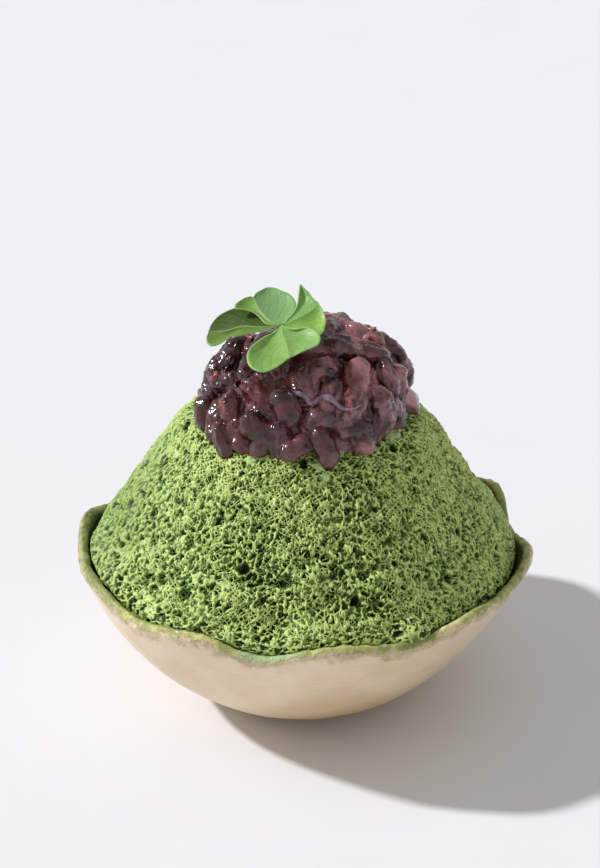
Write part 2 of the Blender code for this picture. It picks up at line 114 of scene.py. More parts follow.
class NodeBoard:
    """Adds nodes to a node tree and wires them."""

    def __init__(self, tree: bpy.types.NodeTree) -> None:
        """Keeps the tree that the nodes go into."""
        self.tree = tree

    def feed(self, node: bpy.types.Node, feeds: dict) -> None:
        """Fills a node's inputs.

        Args:
            node: The node.
            feeds: What goes into each input, by name or number: a value or another node's output.
        """
        for name, value in feeds.items():
            if isinstance(value, Socket):
                self.tree.links.new(value, node.inputs[name])
            else:
                node.inputs[name].default_value = value

    def add(self, kind: str, feeds: dict | None = None, **settings: object) -> bpy.types.Node:
        """Adds a node.

        Args:
            kind: The node's type name.
            feeds: What goes into each input.
            **settings: The node's own properties.

        Returns:
            The new node.
        """
        node = self.tree.nodes.new(kind)
        for name, value in settings.items():
            setattr(node, name, value)
        self.feed(node, feeds or {})
        return node

    def calc(self, operation: str, a: object, b: object = 0.0, clamp: bool = False) -> Socket:
        """A Math node's result."""
        return self.add("ShaderNodeMath", {0: a, 1: b}, operation=operation, use_clamp=clamp).outputs[0]

    def plus(self, a: object, b: object, clamp: bool = False) -> Socket:
        """The sum of two numbers."""
        return self.calc("ADD", a, b, clamp)

    def minus(self, a: object, b: object) -> Socket:
        """The first number less the second."""
        return self.calc("SUBTRACT", a, b)

    def times(self, a: object, b: object, clamp: bool = False) -> Socket:
        """The product of two numbers."""
        return self.calc("MULTIPLY", a, b, clamp)

    def vector(self, operation: str, a: object, b: object) -> Socket:
        """A Vector Math node's vector."""
        return self.add("ShaderNodeVectorMath", {0: a, 1: b}, operation=operation).outputs[0]

    def scaled(self, place: object, factor: object) -> Socket:
        """A vector times a number."""
        return self.add("ShaderNodeVectorMath", {0: place, "Scale": factor}, operation="SCALE").outputs[0]

    def dot(self, a: object, b: object) -> Socket:
        """The dot product of two vectors."""
        return self.add("ShaderNodeVectorMath", {0: a, 1: b}, operation="DOT_PRODUCT").outputs["Value"]

    def distance(self, a: object, b: object) -> Socket:
        """The distance between two points."""
        return self.add("ShaderNodeVectorMath", {0: a, 1: b}, operation="DISTANCE").outputs["Value"]

    def axis(self, place: object, number: int) -> Socket:
        """One coordinate of a place: 0 to the right, 1 to the back and 2 up."""
        return self.add("ShaderNodeSeparateXYZ", {0: place}).outputs[number]

    def ramp(self, value: object, low: float, high: float, to_low: object = 0.0,
             to_high: object = 1.0) -> Socket:
        """A smooth step of a value from one range to another."""
        feeds = {0: value, 1: low, 2: high, 3: to_low, 4: to_high}
        return self.add("ShaderNodeMapRange", feeds, interpolation_type="SMOOTHSTEP").outputs[0]

    def mix(self, share: object, a: object, b: object) -> Socket:
        """A mix of two colours."""
        return self.add("ShaderNodeMix", {0: share, 6: a, 7: b}, data_type="RGBA").outputs[2]

    def noise(self, place: object, scale: object, detail: float = 2.0, rough: float = 0.5) -> bpy.types.Node:
        """A Noise Texture, whose scale is in waves for each unit of the place."""
        feeds = {"Vector": place, "Scale": scale, "Detail": detail, "Roughness": rough}
        return self.add("ShaderNodeTexNoise", feeds)

    def shiver(self, place: object, scale: object, reach: float, detail: float = 2.0) -> Socket:
        """A small random push, to be added to a place."""
        loose = self.noise(place, scale, detail).outputs["Color"]
        return self.scaled(self.vector("SUBTRACT", loose, HALF), reach)

    def cells(self, place: object, scale: float, feature: str = "F1") -> bpy.types.Node:
        """A Voronoi Texture, whose scale is in cells for each unit of the place."""
        return self.add("ShaderNodeTexVoronoi", {"Vector": place, "Scale": scale}, feature=feature)

    def attribute(self, name: str) -> Socket:
        """A number that the mesh carries, for a material."""
        return self.add("ShaderNodeAttribute", attribute_name=name).outputs["Fac"]

    def bump(self, height: Socket, strength: float, depth: float) -> Socket:
        """The normal of a relief, whose depth is in millimetres."""
        feeds = {"Strength": strength, "Distance": depth * MM, "Height": height}
        return self.add("ShaderNodeBump", feeds).outputs[0]

    def group(self, tree: bpy.types.NodeTree, feeds: dict) -> Socket:
        """A node group's result, placed with its own values.

        Args:
            tree: The group.
            feeds: What goes into each of its inputs.

        Returns:
            Its first output.
        """
        node = self.tree.nodes.new("ShaderNodeGroup")
        node.node_tree = tree
        self.feed(node, feeds)
        return node.outputs[0]

    def mottle(self, place: object, scale: float, low: float, high: float) -> Socket:
        """Soft patches, where noise of a scale rises from low to high."""
        return self.group(mottle_group(), {"Place": place, "Scale": scale, "Low": low, "High": high})

    def speckle(self, place: object, scale: float, amount: float, size: float) -> Socket:
        """Small specks in a share of the cells of a scale."""
        feeds = {"Place": place, "Scale": scale, "Amount": amount, "Size": size}
        return self.group(speckle_group(), feeds)


def new_group(name: str, inputs: dict[str, str], outputs: dict[str, str]) -> tuple[NodeBoard, dict, dict]:
    """Starts a shader node group.

    Args:
        name: The group's name.
        inputs: Each input's name and whether it is a Float or a Vector.
        outputs: Each output's name and kind.

    Returns:
        The board to add nodes with, the input sockets and the output sockets by name.
    """
    tree = bpy.data.node_groups.new(name, "ShaderNodeTree")
    for key, kind in inputs.items():
        tree.interface.new_socket(key, in_out="INPUT", socket_type="NodeSocket" + kind)
    for key, kind in outputs.items():
        tree.interface.new_socket(key, in_out="OUTPUT", socket_type="NodeSocket" + kind)
    board = NodeBoard(tree)
    start = board.add("NodeGroupInput")
    end = board.add("NodeGroupOutput")
    return board, {key: start.outputs[key] for key in inputs}, {key: end.inputs[key] for key in outputs}


@lru_cache
def mottle_group() -> bpy.types.NodeTree:
    """Makes a soft patchy mask: where noise of a given scale rises from Low to High.

    Returns:
        The node group.
    """
    sockets = {"Place": "Vector", "Scale": "Float", "Low": "Float", "High": "Float"}
    board, given, result = new_group("mottle", sockets, {"Mask": "Float"})
    patches = board.noise(given["Place"], given["Scale"], 3.0, 0.6).outputs[0]
    board.tree.links.new(board.ramp(patches, given["Low"], given["High"]), result["Mask"])
    return board.tree


@lru_cache
def speckle_group() -> bpy.types.NodeTree:
    """Makes a mask of small irregular specks: the share of cells that hold one is Amount.

    Returns:
        The node group.
    """
    sockets = {"Place": "Vector", "Scale": "Float", "Amount": "Float", "Size": "Float"}
    board, given, result = new_group("speckle", sockets, {"Mask": "Float"})
    wander = board.noise(given["Place"], given["Scale"], 2.0, 0.6).outputs["Color"]
    push = board.scaled(board.vector("SUBTRACT", wander, HALF), 0.9)
    place = board.vector("ADD", board.scaled(given["Place"], given["Scale"]), push)
    dots = board.cells(place, 1.0)
    held = board.calc("LESS_THAN", board.axis(dots.outputs["Color"], 0), given["Amount"])
    near = board.times(board.minus(given["Size"], dots.outputs["Distance"]), 9.0, clamp=True)
    board.tree.links.new(board.times(held, near), result["Mask"])
    return board.tree


def new_material(name: str) -> tuple[bpy.types.Material, NodeBoard, bpy.types.Node]:
    """Starts a material.

    Args:
        name: The material's name.

    Returns:
        The material, the board for its nodes and its Principled shader.
    """
    material = bpy.data.materials.new(name)
    material.use_nodes = True
    return material, NodeBoard(material.node_tree), material.node_tree.nodes["Principled BSDF"]


def object_place(board: NodeBoard) -> Socket:
    """The point being shaded, in the object's own coordinates, in millimetres."""
    place = board.add("ShaderNodeTexCoord").outputs["Object"]
    return board.scaled(place, 1 / MM)


@dataclass(frozen=True)
class StonewareGlaze:
    """Satin tan glaze; a glassy green, yellow and mint lip over a band of brown specks; dark green inside,
    partly painted shade.

    The spots are places on the lip, in millimetres, where its glaze is thick and mint, bald or dripped.
    """

    body: Colour = paint(230, 211, 180)
    body_worn: Colour = paint(212, 182, 144)
    band: Colour = paint(134, 118, 60)
    foot: Colour = paint(188, 148, 90)
    specks: Colour = paint(70, 50, 26)
    ochre: Colour = paint(198, 158, 84)
    lip_green: Colour = paint(116, 136, 58)
    lip_yellow: Colour = paint(206, 204, 128)
    lip_mint: Colour = paint(166, 196, 142)
    cream: Colour = paint(226, 212, 158)
    # Dark olive inside: the inner glaze, darkened as painted shade of the narrow gap by the ice.
    inside: Colour = paint(50, 54, 32)
    mint_spot: Place = (-9.0, -62.0, 46.0)
    bald_spot: Place = (39.5, -52.0, 45.5)
    dripped_spot: Place = (30.5, -56.5, 44.5)
    relief_depth: float = 0.35

    def build(self) -> bpy.types.Material:
        """Makes the material, which reads the attributes below_rim, in millimetres, and inner.

        Returns:
            The material.
        """
        material, board, shader = new_material("stoneware_glaze")
        place = object_place(board)
        below = board.attribute("below_rim")
        lines = board.noise(board.vector("MULTIPLY", place, (0.35, 0.35, 5.0)), 0.22, 3.0, 0.6).outputs[0]
        clouds = board.mottle(place, 0.045, 0.35, 0.7)
        ragged = board.noise(place, 0.16, 4.0, 0.65).outputs[0]
        grains = board.noise(place, 0.9, 4.0, 0.7).outputs[0]
        worn = board.plus(board.ramp(lines, 0.48, 0.75, 0.0, 0.25), board.times(clouds, 0.55), clamp=True)
        stained = board.minus(below, board.ramp(ragged, 0.3, 0.72, -2.2, 4.2))
        wall = self.wall_colour(board, place, worn, stained)
        glass = self.lip_colour(board, place, grains)
        runs = board.noise(board.vector("MULTIPLY", place, (1.0, 1.0, 0.15)), 0.7, 3.0, 0.6).outputs[0]
        wide = board.ramp(board.axis(place, 0), -62.0, -40.0, 2.6, 0.0)
        run_down = board.times(board.ramp(runs, 0.35, 0.7), board.plus(wide, 0.5))
        edge = board.minus(board.minus(below, board.ramp(ragged, 0.35, 0.65, -0.5, 0.7)), run_down)
        feather = board.plus(board.times(wide, 0.8), 0.7)
        lip = board.calc("DIVIDE", board.minus(0.7, edge), feather, clamp=True)
        outside = board.mix(lip, wall, glass)
        rusty = board.times(board.ramp(edge, 0.0, 0.8), board.ramp(edge, 0.8, 3.6, 1.0, 0.0))
        sparse = board.times(board.ramp(grains, 0.5, 0.62, 0.0, 0.5), clouds)
        outside = board.mix(board.times(rusty, sparse), outside, self.specks)
        # Inside, below the lip: the dark olive, partly painted shade of the gap.
        well = board.mix(board.ramp(below, 0.2, 1.4), glass, self.inside)
        beady = board.times(grains, board.ramp(lip, 0.0, 1.0, 0.4, 2.2))
        board.feed(shader, {
            "Base Color": board.mix(board.attribute("inner"), outside, well),
            "Roughness": board.ramp(grains, 0.35, 0.7, 0.34, 0.5),
            "Normal": board.bump(board.plus(board.times(lines, 0.3), beady), 0.6, self.relief_depth),
            "Coat Weight": 0.1,
            "Coat Roughness": 0.16,
        })
        return material

    def wall_colour(self, board: NodeBoard, place: Socket, worn: Socket, depth: Socket) -> Socket:
        """Colours the outer wall: tan, warmer towards the foot, stained and speckled under the lip.

        Args:
            board: The material's board.
            place: The point being shaded.
            worn: How worn the glaze is there, 0 to 1.
            depth: How far the point is under the lip's ragged edge, in millimetres.

        Returns:
            The colour.
        """
        across = board.axis(place, 0)
        low = board.ramp(board.axis(place, 2), 2.0, 36.0, 0.8, 0.0)
        left, right = board.ramp(across, -40.0, 10.0, 0.1, 1.0), board.ramp(across, 14.0, 52.0, 1.0, 0.3)
        colour = board.mix(worn, self.body, self.body_worn)
        colour = board.mix(board.times(low, board.calc("MINIMUM", left, right)), colour, self.foot)
        stain = board.ramp(depth, 0.0, 4.4, 1.0, 0.0)
        colour = board.mix(board.times(stain, 0.42), colour, self.band)
        near_band = board.ramp(depth, 0.4, 4.0, 0.9, 0.0)
        for scale, amount, size, tone in ((1.7, 0.5, 0.3, self.specks), (1.1, 0.3, 0.26, self.ochre)):
            fine = board.speckle(place, scale, amount, size)
            colour = board.mix(board.times(fine, near_band), colour, tone)
        stray = board.speckle(place, 0.55, 0.05, 0.16)
        return board.mix(board.times(stray, 0.4), colour, self.specks)

    def lip_colour(self, board: NodeBoard, place: Socket, grains: Socket) -> Socket:
        """Colours the lip: green with yellow, ochre, cream and mint patches, and brown specks.

        Args:
            board: The material's board.
            place: The point being shaded.
            grains: Fine noise for the darker grains.

        Returns:
            The colour.
        """
        across = board.axis(place, 0)
        left, right = board.ramp(across, -60.0, -42.0, 0.0, 0.7), board.ramp(across, 44.0, 60.0, 0.5, 0.0)
        front = board.ramp(board.axis(place, 1), -20.0, 10.0, 1.0, 0.1)
        sunny = board.times(board.times(board.calc("MINIMUM", left, right), front), 0.6)
        sunny = board.plus(sunny, board.times(board.mottle(place, 0.24, 0.42, 0.62), 0.5), clamp=True)
        colour = board.mix(sunny, self.lip_green, self.lip_yellow)
        aside = board.vector("ADD", place, (5.0, 17.0, 3.0))
        for scale, low, share, tone in ((0.3, 0.56, 0.6, self.ochre), (0.2, 0.62, 0.8, self.cream)):
            patch = board.mottle(aside, scale, low, low + 0.12)
            colour = board.mix(board.times(patch, share), colour, tone)
        shifted = board.vector("ADD", place, (31.0, 8.0, 0.0))
        mint = board.times(board.mottle(shifted, 0.09, 0.6, 0.74), 0.5)
        thick = board.ramp(board.distance(place, self.mint_spot), 5.0, 12.0, 0.85, 0.0)
        colour = board.mix(board.calc("MAXIMUM", thick, mint), colour, self.lip_mint)
        bald = board.ramp(board.distance(place, self.bald_spot), 3.0, 6.0, 0.9, 0.0)
        colour = board.mix(bald, colour, self.cream)
        dripped = board.ramp(board.distance(place, self.dripped_spot), 4.0, 7.0, 0.9, 0.0)
        colour = board.mix(dripped, colour, self.lip_green)
        colour = board.mix(board.ramp(grains, 0.52, 0.66, 0.0, 0.7), colour, self.band)
        dots = board.speckle(place, 1.3, 0.35, 0.24)
        return board.mix(board.times(dots, 0.55), colour, self.specks)


@dataclass(frozen=True)
class MatchaFoam:
    """Damp matcha ice: pale strands lightened as painted glints, dark green in the pores deepening to painted
    shade, milky where it has melted.
    """

    # Strand tops: the pale ice, lightened further as painted glints.
    ridge_and_glint: Colour = paint(201, 220, 128)
    middle: Colour = paint(90, 122, 28)
    # Near black: painted shade at the bottom of the pores.
    pore: Colour = paint(15, 26, 6)
    milk: Colour = paint(170, 200, 134)
    # Pressed ice: the packed ice's own deeper tone, darkened further as painted shade of its fine relief on
    # the left shoulder.
    packed_and_shaded: Colour = paint(138, 162, 78)
    relief_depth: float = 0.12

    def build(self) -> bpy.types.Material:
        """Makes the material, which reads the attributes pit, 1 deep in a pore, melt and pressed.

        Returns:
            The material.
        """
        material, board, shader = new_material("matcha_foam")
        place = object_place(board)
        pit = board.attribute("pit")
        pressed = board.times(board.attribute("pressed"), 1.1, clamp=True)
        ridge_and_glint = board.mix(pressed, self.ridge_and_glint, self.packed_and_shaded)
        # Painted shade: the colour darkens with the depth of the pores.
        colour = board.mix(board.ramp(pit, 0.0, 0.17), ridge_and_glint, self.middle)
        colour = board.mix(board.ramp(pit, 0.15, 0.42), colour, self.pore)
        pale = board.mottle(place, 0.11, 0.54, 0.72)
        colour = board.mix(board.times(pale, 0.25), colour, self.milk)
        dust = board.noise(place, 1.9, 3.0, 0.75).outputs[0]
        colour = board.mix(board.ramp(dust, 0.48, 0.68, 0.0, 0.6), colour, self.middle)
        colour = board.mix(board.ramp(dust, 0.3, 0.42, 0.3, 0.0), colour, self.milk)
        colour = board.mix(board.times(board.attribute("melt"), 0.55), colour, self.milk)
        grain = board.noise(place, 3.2, 3.0, 0.65).outputs[0]
        board.feed(shader, {
            "Base Color": colour,
            "Normal": board.bump(grain, 0.6, self.relief_depth),
            "Roughness": 0.45,
            "Specular IOR Level": 0.5,
        })
        return material


@dataclass(frozen=True)
class SweetBean:
    """Cooked bean skin under syrup: dark maroon with redder and browner parts, wet all over; painted shade on
    the left and a painted pale reflection to the right.
    """

    dark: Colour = paint(44, 15, 19)
    maroon: Colour = paint(84, 35, 41)
    red: Colour = paint(114, 46, 50)
    brown: Colour = paint(132, 70, 50)
    # Pale mauve: a painted reflection of the bright surroundings in the syrup.
    reflection_tint: Colour = paint(172, 116, 122)
    torn: Colour = paint(164, 82, 80)
    # Pale violet-grey: the syrup trail's painted reflection.
    syrup: Colour = paint(128, 108, 126)
    relief_depth: float = 0.4

    def build(self) -> bpy.types.Material:
        """Makes the material, which reads the attribute tint: 0 to 1 a bean, 2 torn skin, 3 the syrup trail's
        painted reflection.

        Returns:
            The material.
        """
        material, board, shader = new_material("bean_skin")
        place = object_place(board)
        across = board.axis(place, 0)
        tint = board.attribute("tint")
        colour = board.mix(board.mottle(place, 0.2, 0.38, 0.66), self.dark, self.maroon)
        redder = board.times(board.ramp(tint, 0.45, 0.95), 0.55)
        colour = board.mix(redder, colour, self.red)
        browner = board.times(board.mottle(place, 0.16, 0.58, 0.7), board.ramp(tint, 0.6, 1.0, 0.1, 0.6))
        colour = board.mix(browner, colour, self.brown)
        stretched = board.vector("MULTIPLY", place, (1.0, 1.0, 0.35))
        streaks = board.noise(stretched, 0.9, 4.0, 0.7).outputs[0]
        colour = board.mix(board.ramp(streaks, 0.5, 0.74, 0.0, 0.35), colour, self.dark)
        # Painted shade: beans darker towards the left.
        colour = board.mix(board.ramp(across, -26.0, -6.0, 0.4, 0.0), colour, self.dark)
        # Painted reflection: pale mauve patches, stronger to the right.
        reflection_share = board.times(board.mottle(place, 0.13, 0.42, 0.64), board.ramp(across, -14.0, 16.0, 0.0, 0.8))
        colour = board.mix(reflection_share, colour, self.reflection_tint)
        colour = board.mix(board.ramp(tint, 1.3, 1.9, 0.0, 0.8), colour, self.torn)
        # Painted reflection: the trail's pale violet-grey.
        colour = board.mix(board.ramp(tint, 2.3, 2.9), colour, self.syrup)
        folds = board.noise(place, 0.75, 4.0, 0.62).outputs[0]
        beads = board.noise(place, 2.2, 2.0, 0.5).outputs[0]
        relief = board.plus(folds, board.times(beads, 0.45))
        board.feed(shader, {
            "Base Color": colour,
            "Normal": board.bump(relief, 0.8, self.relief_depth),
            "Roughness": board.ramp(folds, 0.3, 0.7, 0.2, 0.36),
            "Coat Weight": 1.0,
            "Coat Roughness": 0.13,
            "Coat IOR": 1.52,
            "Specular IOR Level": 0.12,
        })
        return material


@dataclass(frozen=True)
class CloverLeaf:
    """Fresh leaf: fine pale veins and edge; some lobes darker with painted shade and some with a painted cool
    sheen.
    """

    blade: Colour = paint(142, 184, 78)
    dark: Colour = paint(62, 82, 16)
    cool: Colour = paint(120, 162, 104)
    vein: Colour = paint(176, 206, 132)
    deep: Colour = paint(88, 134, 44)
    rib_turns: float = 52.0
    rib_slant: float = 40.0
    relief_depth: float = 0.15

    def build(self) -> bpy.types.Material:
        """Makes the material, which reads the leaf map, V along the midrib, and shade and sheen.

        Returns:
            The material.
        """
        material, board, shader = new_material("clover_blade")
        place = object_place(board)
        leaf_map = board.add("ShaderNodeUVMap", uv_map="leaf").outputs[0]
        shade = board.attribute("shade")
        across = board.calc("ABSOLUTE", board.minus(board.axis(leaf_map, 0), 0.5))
        along = board.axis(leaf_map, 1)
        cloud = board.mottle(place, 0.3, 0.35, 0.7)
        colour = board.mix(board.times(cloud, 0.4), self.blade, self.deep)
        # Painted shade on the darker lobes.
        colour = board.mix(shade, colour, self.dark)
        # Painted sheen: a cool reflection on some lobes.
        colour = board.mix(board.attribute("sheen"), colour, self.cool)
        wander = board.times(board.noise(place, 0.5, 2.0).outputs[0], 3.0)
        turn = board.minus(board.times(along, self.rib_turns), board.times(across, self.rib_slant))
        ribs = board.ramp(board.calc("SINE", board.plus(turn, wander)), 0.4, 1.0)
        darker = board.times(ribs, board.ramp(shade, 0.0, 1.0, 0.1, 0.45))
        colour = board.mix(darker, colour, board.mix(0.5, self.dark, self.deep))
        fine = board.ramp(board.noise(place, 1.6, 3.0, 0.6).outputs[0], 0.5, 0.75, 0.0, 0.22)
        colour = board.mix(fine, colour, self.vein)
        colour = board.mix(board.ramp(across, 0.0, 0.018, 0.6, 0.0), colour, self.vein)
        colour = board.mix(board.ramp(across, 0.475, 0.5, 0.0, 0.35), colour, self.vein)
        relief = board.plus(board.times(ribs, -0.5), board.noise(place, 1.4, 3.0).outputs[0])
        board.feed(shader, {
            "Base Color": colour,
            "Normal": board.bump(relief, 0.5, self.relief_depth),
            "Roughness": 0.48,
            "Subsurface Weight": 0.25,
            "Subsurface Scale": 0.001,
            "Subsurface Radius": (0.6, 1.0, 0.3),
        })
        return material


def new_shaping(name: str) -> tuple[bpy.types.NodeTree, NodeBoard, bpy.types.Node, bpy.types.Node]:
    """Starts a geometry node tree for a modifier.

    Args:
        name: The tree's name.

    Returns:
        The tree, the board for its nodes, its input node and its output node.
    """
    tree = bpy.data.node_groups.new(name, "GeometryNodeTree")
    tree.interface.new_socket("Geometry", in_out="INPUT", socket_type="NodeSocketGeometry")
    tree.interface.new_socket("Geometry", in_out="OUTPUT", socket_type="NodeSocketGeometry")
    board = NodeBoard(tree)
    return tree, board, board.add("NodeGroupInput"), board.add("NodeGroupOutput")


def activate(piece: bpy.types.Object) -> None:
    """Selects one object alone and makes it the active one.

    Args:
        piece: The object.
    """
    bpy.ops.object.select_all(action="DESELECT")
    piece.select_set(True)
    bpy.context.view_layer.objects.active = piece


def apply_all(piece: bpy.types.Object) -> None:
    """Applies the object's modifiers in order.

    Args:
        piece: The object.
    """
    activate(piece)
    for modifier in list(piece.modifiers):
        bpy.ops.object.modifier_apply(modifier=modifier.name)


@contextmanager
def editing(piece: bpy.types.Object, select: bool = True) -> Iterator[None]:
    """Opens a piece in edit mode for the lines of the block, and closes it again.

    Args:
        piece: The object.
        select: Whether the whole mesh is selected first.

    Yields:
        Nothing. The piece is in edit mode until the block ends.
    """
    activate(piece)
    bpy.ops.object.mode_set(mode="EDIT")
    if select:
        bpy.ops.mesh.select_all(action="SELECT")
    yield
    bpy.ops.object.mode_set(mode="OBJECT")


def new_piece(name: str, points: list[Vector] | list[list[float]],
              edges: list[tuple[int, int]]) -> bpy.types.Object:
    """Makes an object of loose points and edges, to be shaped in edit mode.

    Args:
        name: The object's name.
        points: Its points, in metres.
        edges: Pairs of point numbers.

    Returns:
        The object, in the scene.
    """
    mesh = bpy.data.meshes.new(name)
    mesh.from_pydata(points, edges, [])
    piece = bpy.data.objects.new(name, mesh)
    bpy.context.scene.collection.objects.link(piece)
    return piece


def displace(piece: bpy.types.Object, name: str, size: float, depth: float, group: str = "") -> None:
    """Pushes a surface in and out with a cloud pattern.

    Args:
        piece: The object.
        name: The pattern's name.
        size: The size of its clouds, in millimetres.
        depth: Its depth, in millimetres.
        group: The vertex group that it keeps to, if any.
    """
    texture = bpy.data.textures.new(name, "CLOUDS")
    texture.noise_scale = size * MM
    relief = piece.modifiers.new(name, "DISPLACE")
    relief.texture = texture
    relief.texture_coords = "LOCAL"
    relief.vertex_group = group
    relief.strength = depth * MM
    apply_all(piece)


def pucker(piece: bpy.types.Object, sizes: Profile) -> None:
    """Puckers a surface with cloud patterns, each a size and a depth in millimetres."""
    for size, depth in sizes:
        displace(piece, "pucker", size, depth)


def join(pieces: list[bpy.types.Object], name: str) -> bpy.types.Object:
    """Joins objects into the first, which gets the name.

    Args:
        pieces: The objects.
        name: The joined object's name.

    Returns:
        The joined object.
    """
    activate(pieces[0])
    for piece in pieces:
        piece.select_set(True)
    if len(pieces) > 1:
        bpy.ops.object.join()
    pieces[0].name = name
    return pieces[0]


def mark(piece: bpy.types.Object, name: str, values: np.ndarray) -> None:
    """Stores one number for each vertex as an attribute of the mesh."""
    attribute = piece.data.attributes.new(name, "FLOAT", "POINT")
    attribute.data.foreach_set("value", np.asarray(values, np.float32))


def marked(piece: bpy.types.Object, name: str) -> np.ndarray:
    """Reads back an attribute of the mesh.

    Args:
        piece: The object.
        name: The attribute's name.

    Returns:
        One number for each vertex.
    """
    values = np.zeros(len(piece.data.vertices), np.float32)
    piece.data.attributes[name].data.foreach_get("value", values)
    return values


def places(piece: bpy.types.Object) -> np.ndarray:
    """The vertices of a mesh in millimetres, one row each.

    Args:
        piece: The object.

    Returns:
        The points.
    """
    flat = np.zeros(len(piece.data.vertices) * 3, np.float32)
    piece.data.vertices.foreach_get("co", flat)
    return flat.reshape(-1, 3) / MM


def move_to(piece: bpy.types.Object, points: np.ndarray) -> None:
    """Puts the vertices of a mesh at the given points, in millimetres."""
    piece.data.vertices.foreach_set("co", (points * MM).astype(np.float32).ravel())
    piece.data.update()


def spin_profile(name: str, profile: Profile, steps: int, marks: dict[str, list[float]],
                 start: float = 0.0, angle: float = math.tau) -> bpy.types.Object:
    """Turns a profile round the upright axis.

    Args:
        name: The new object's name.
        profile: Radius and height pairs, in millimetres.
        steps: How many faces go round.
        marks: Numbers for each point of the profile, kept as attributes.
        start: The azimuth where the turn starts.
        angle: How far it turns.

    Returns:
        The turned object, with the faces outwards.
    """
    turn = Matrix.Rotation(start, 3, "Z")
    points = [turn @ Vector((radius, 0, height)) * MM for radius, height in profile]
    piece = new_piece(name, points, [(i, i + 1) for i in range(len(profile) - 1)])
    for key, values in marks.items():
        mark(piece, key, np.array(values))
    with editing(piece):
        bpy.ops.mesh.spin(steps=steps, angle=angle, center=(0, 0, 0), axis=(0, 0, 1))
        bpy.ops.mesh.select_all(action="SELECT")
        bpy.ops.mesh.remove_doubles(threshold=0.002 * MM)
        bpy.ops.mesh.normals_make_consistent(inside=False)
    bpy.ops.object.shade_smooth()
    return piece


def close_to_point(piece: bpy.types.Object) -> None:
    """Closes an open piece by drawing its border together to one point inside it.

    Args:
        piece: The object.
    """
    with editing(piece, select=False):
        bpy.ops.mesh.select_mode(type="VERT")
        bpy.ops.mesh.select_all(action="DESELECT")
        bpy.ops.mesh.select_non_manifold(extend=False)
        bpy.ops.mesh.extrude_edges_move()
        bpy.ops.mesh.merge(type="CENTER")
        bpy.ops.mesh.select_more()
        bpy.ops.mesh.select_mode(type="FACE")
        bpy.ops.mesh.faces_shade_flat()
        bpy.ops.mesh.select_all(action="SELECT")
        bpy.ops.mesh.normals_make_consistent(inside=False)


def smooth_profile(points: Profile, steps: int) -> Profile:
    """A Catmull-Rom curve through radius and height pairs, read at even steps.

    Args:
        points: The pairs.
        steps: How many steps the curve has.

    Returns:
        The curve's points.
    """
    padded = [points[0], *points, points[-1]]
    spans = len(points) - 1
    curve = []
    for i in range(steps + 1):
        at = i / steps * spans
        k = min(int(at), spans - 1)
        t = at - k
        p0, p1, p2, p3 = padded[k:k + 4]
        curve.append(tuple(
            0.5 * (2 * b + (c - a) * t + (2 * a - 5 * b + 4 * c - d) * t**2 + (3 * b - a - 3 * c + d) * t**3)
            for a, b, c, d in zip(p0, p1, p2, p3)
        ))
    return curve


def dress(piece: bpy.types.Object, material: bpy.types.Material, slot: Slot, *nodes: str) -> None:
    """Gives a finished piece its material, body and the CAD nodes that it stands for.

    Args:
        piece: The finished piece.
        material: Its material.
        slot: Not used.
        *nodes: The solids that it replaces.
    """
    piece.data.materials.clear()
    piece.data.materials.append(material)
    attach(piece, "root")
    if nodes:
        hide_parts(*nodes)
    piece.data.calc_loop_triangles()
    LOG.info("%s: %d triangles", piece.name, len(piece.data.loop_triangles))


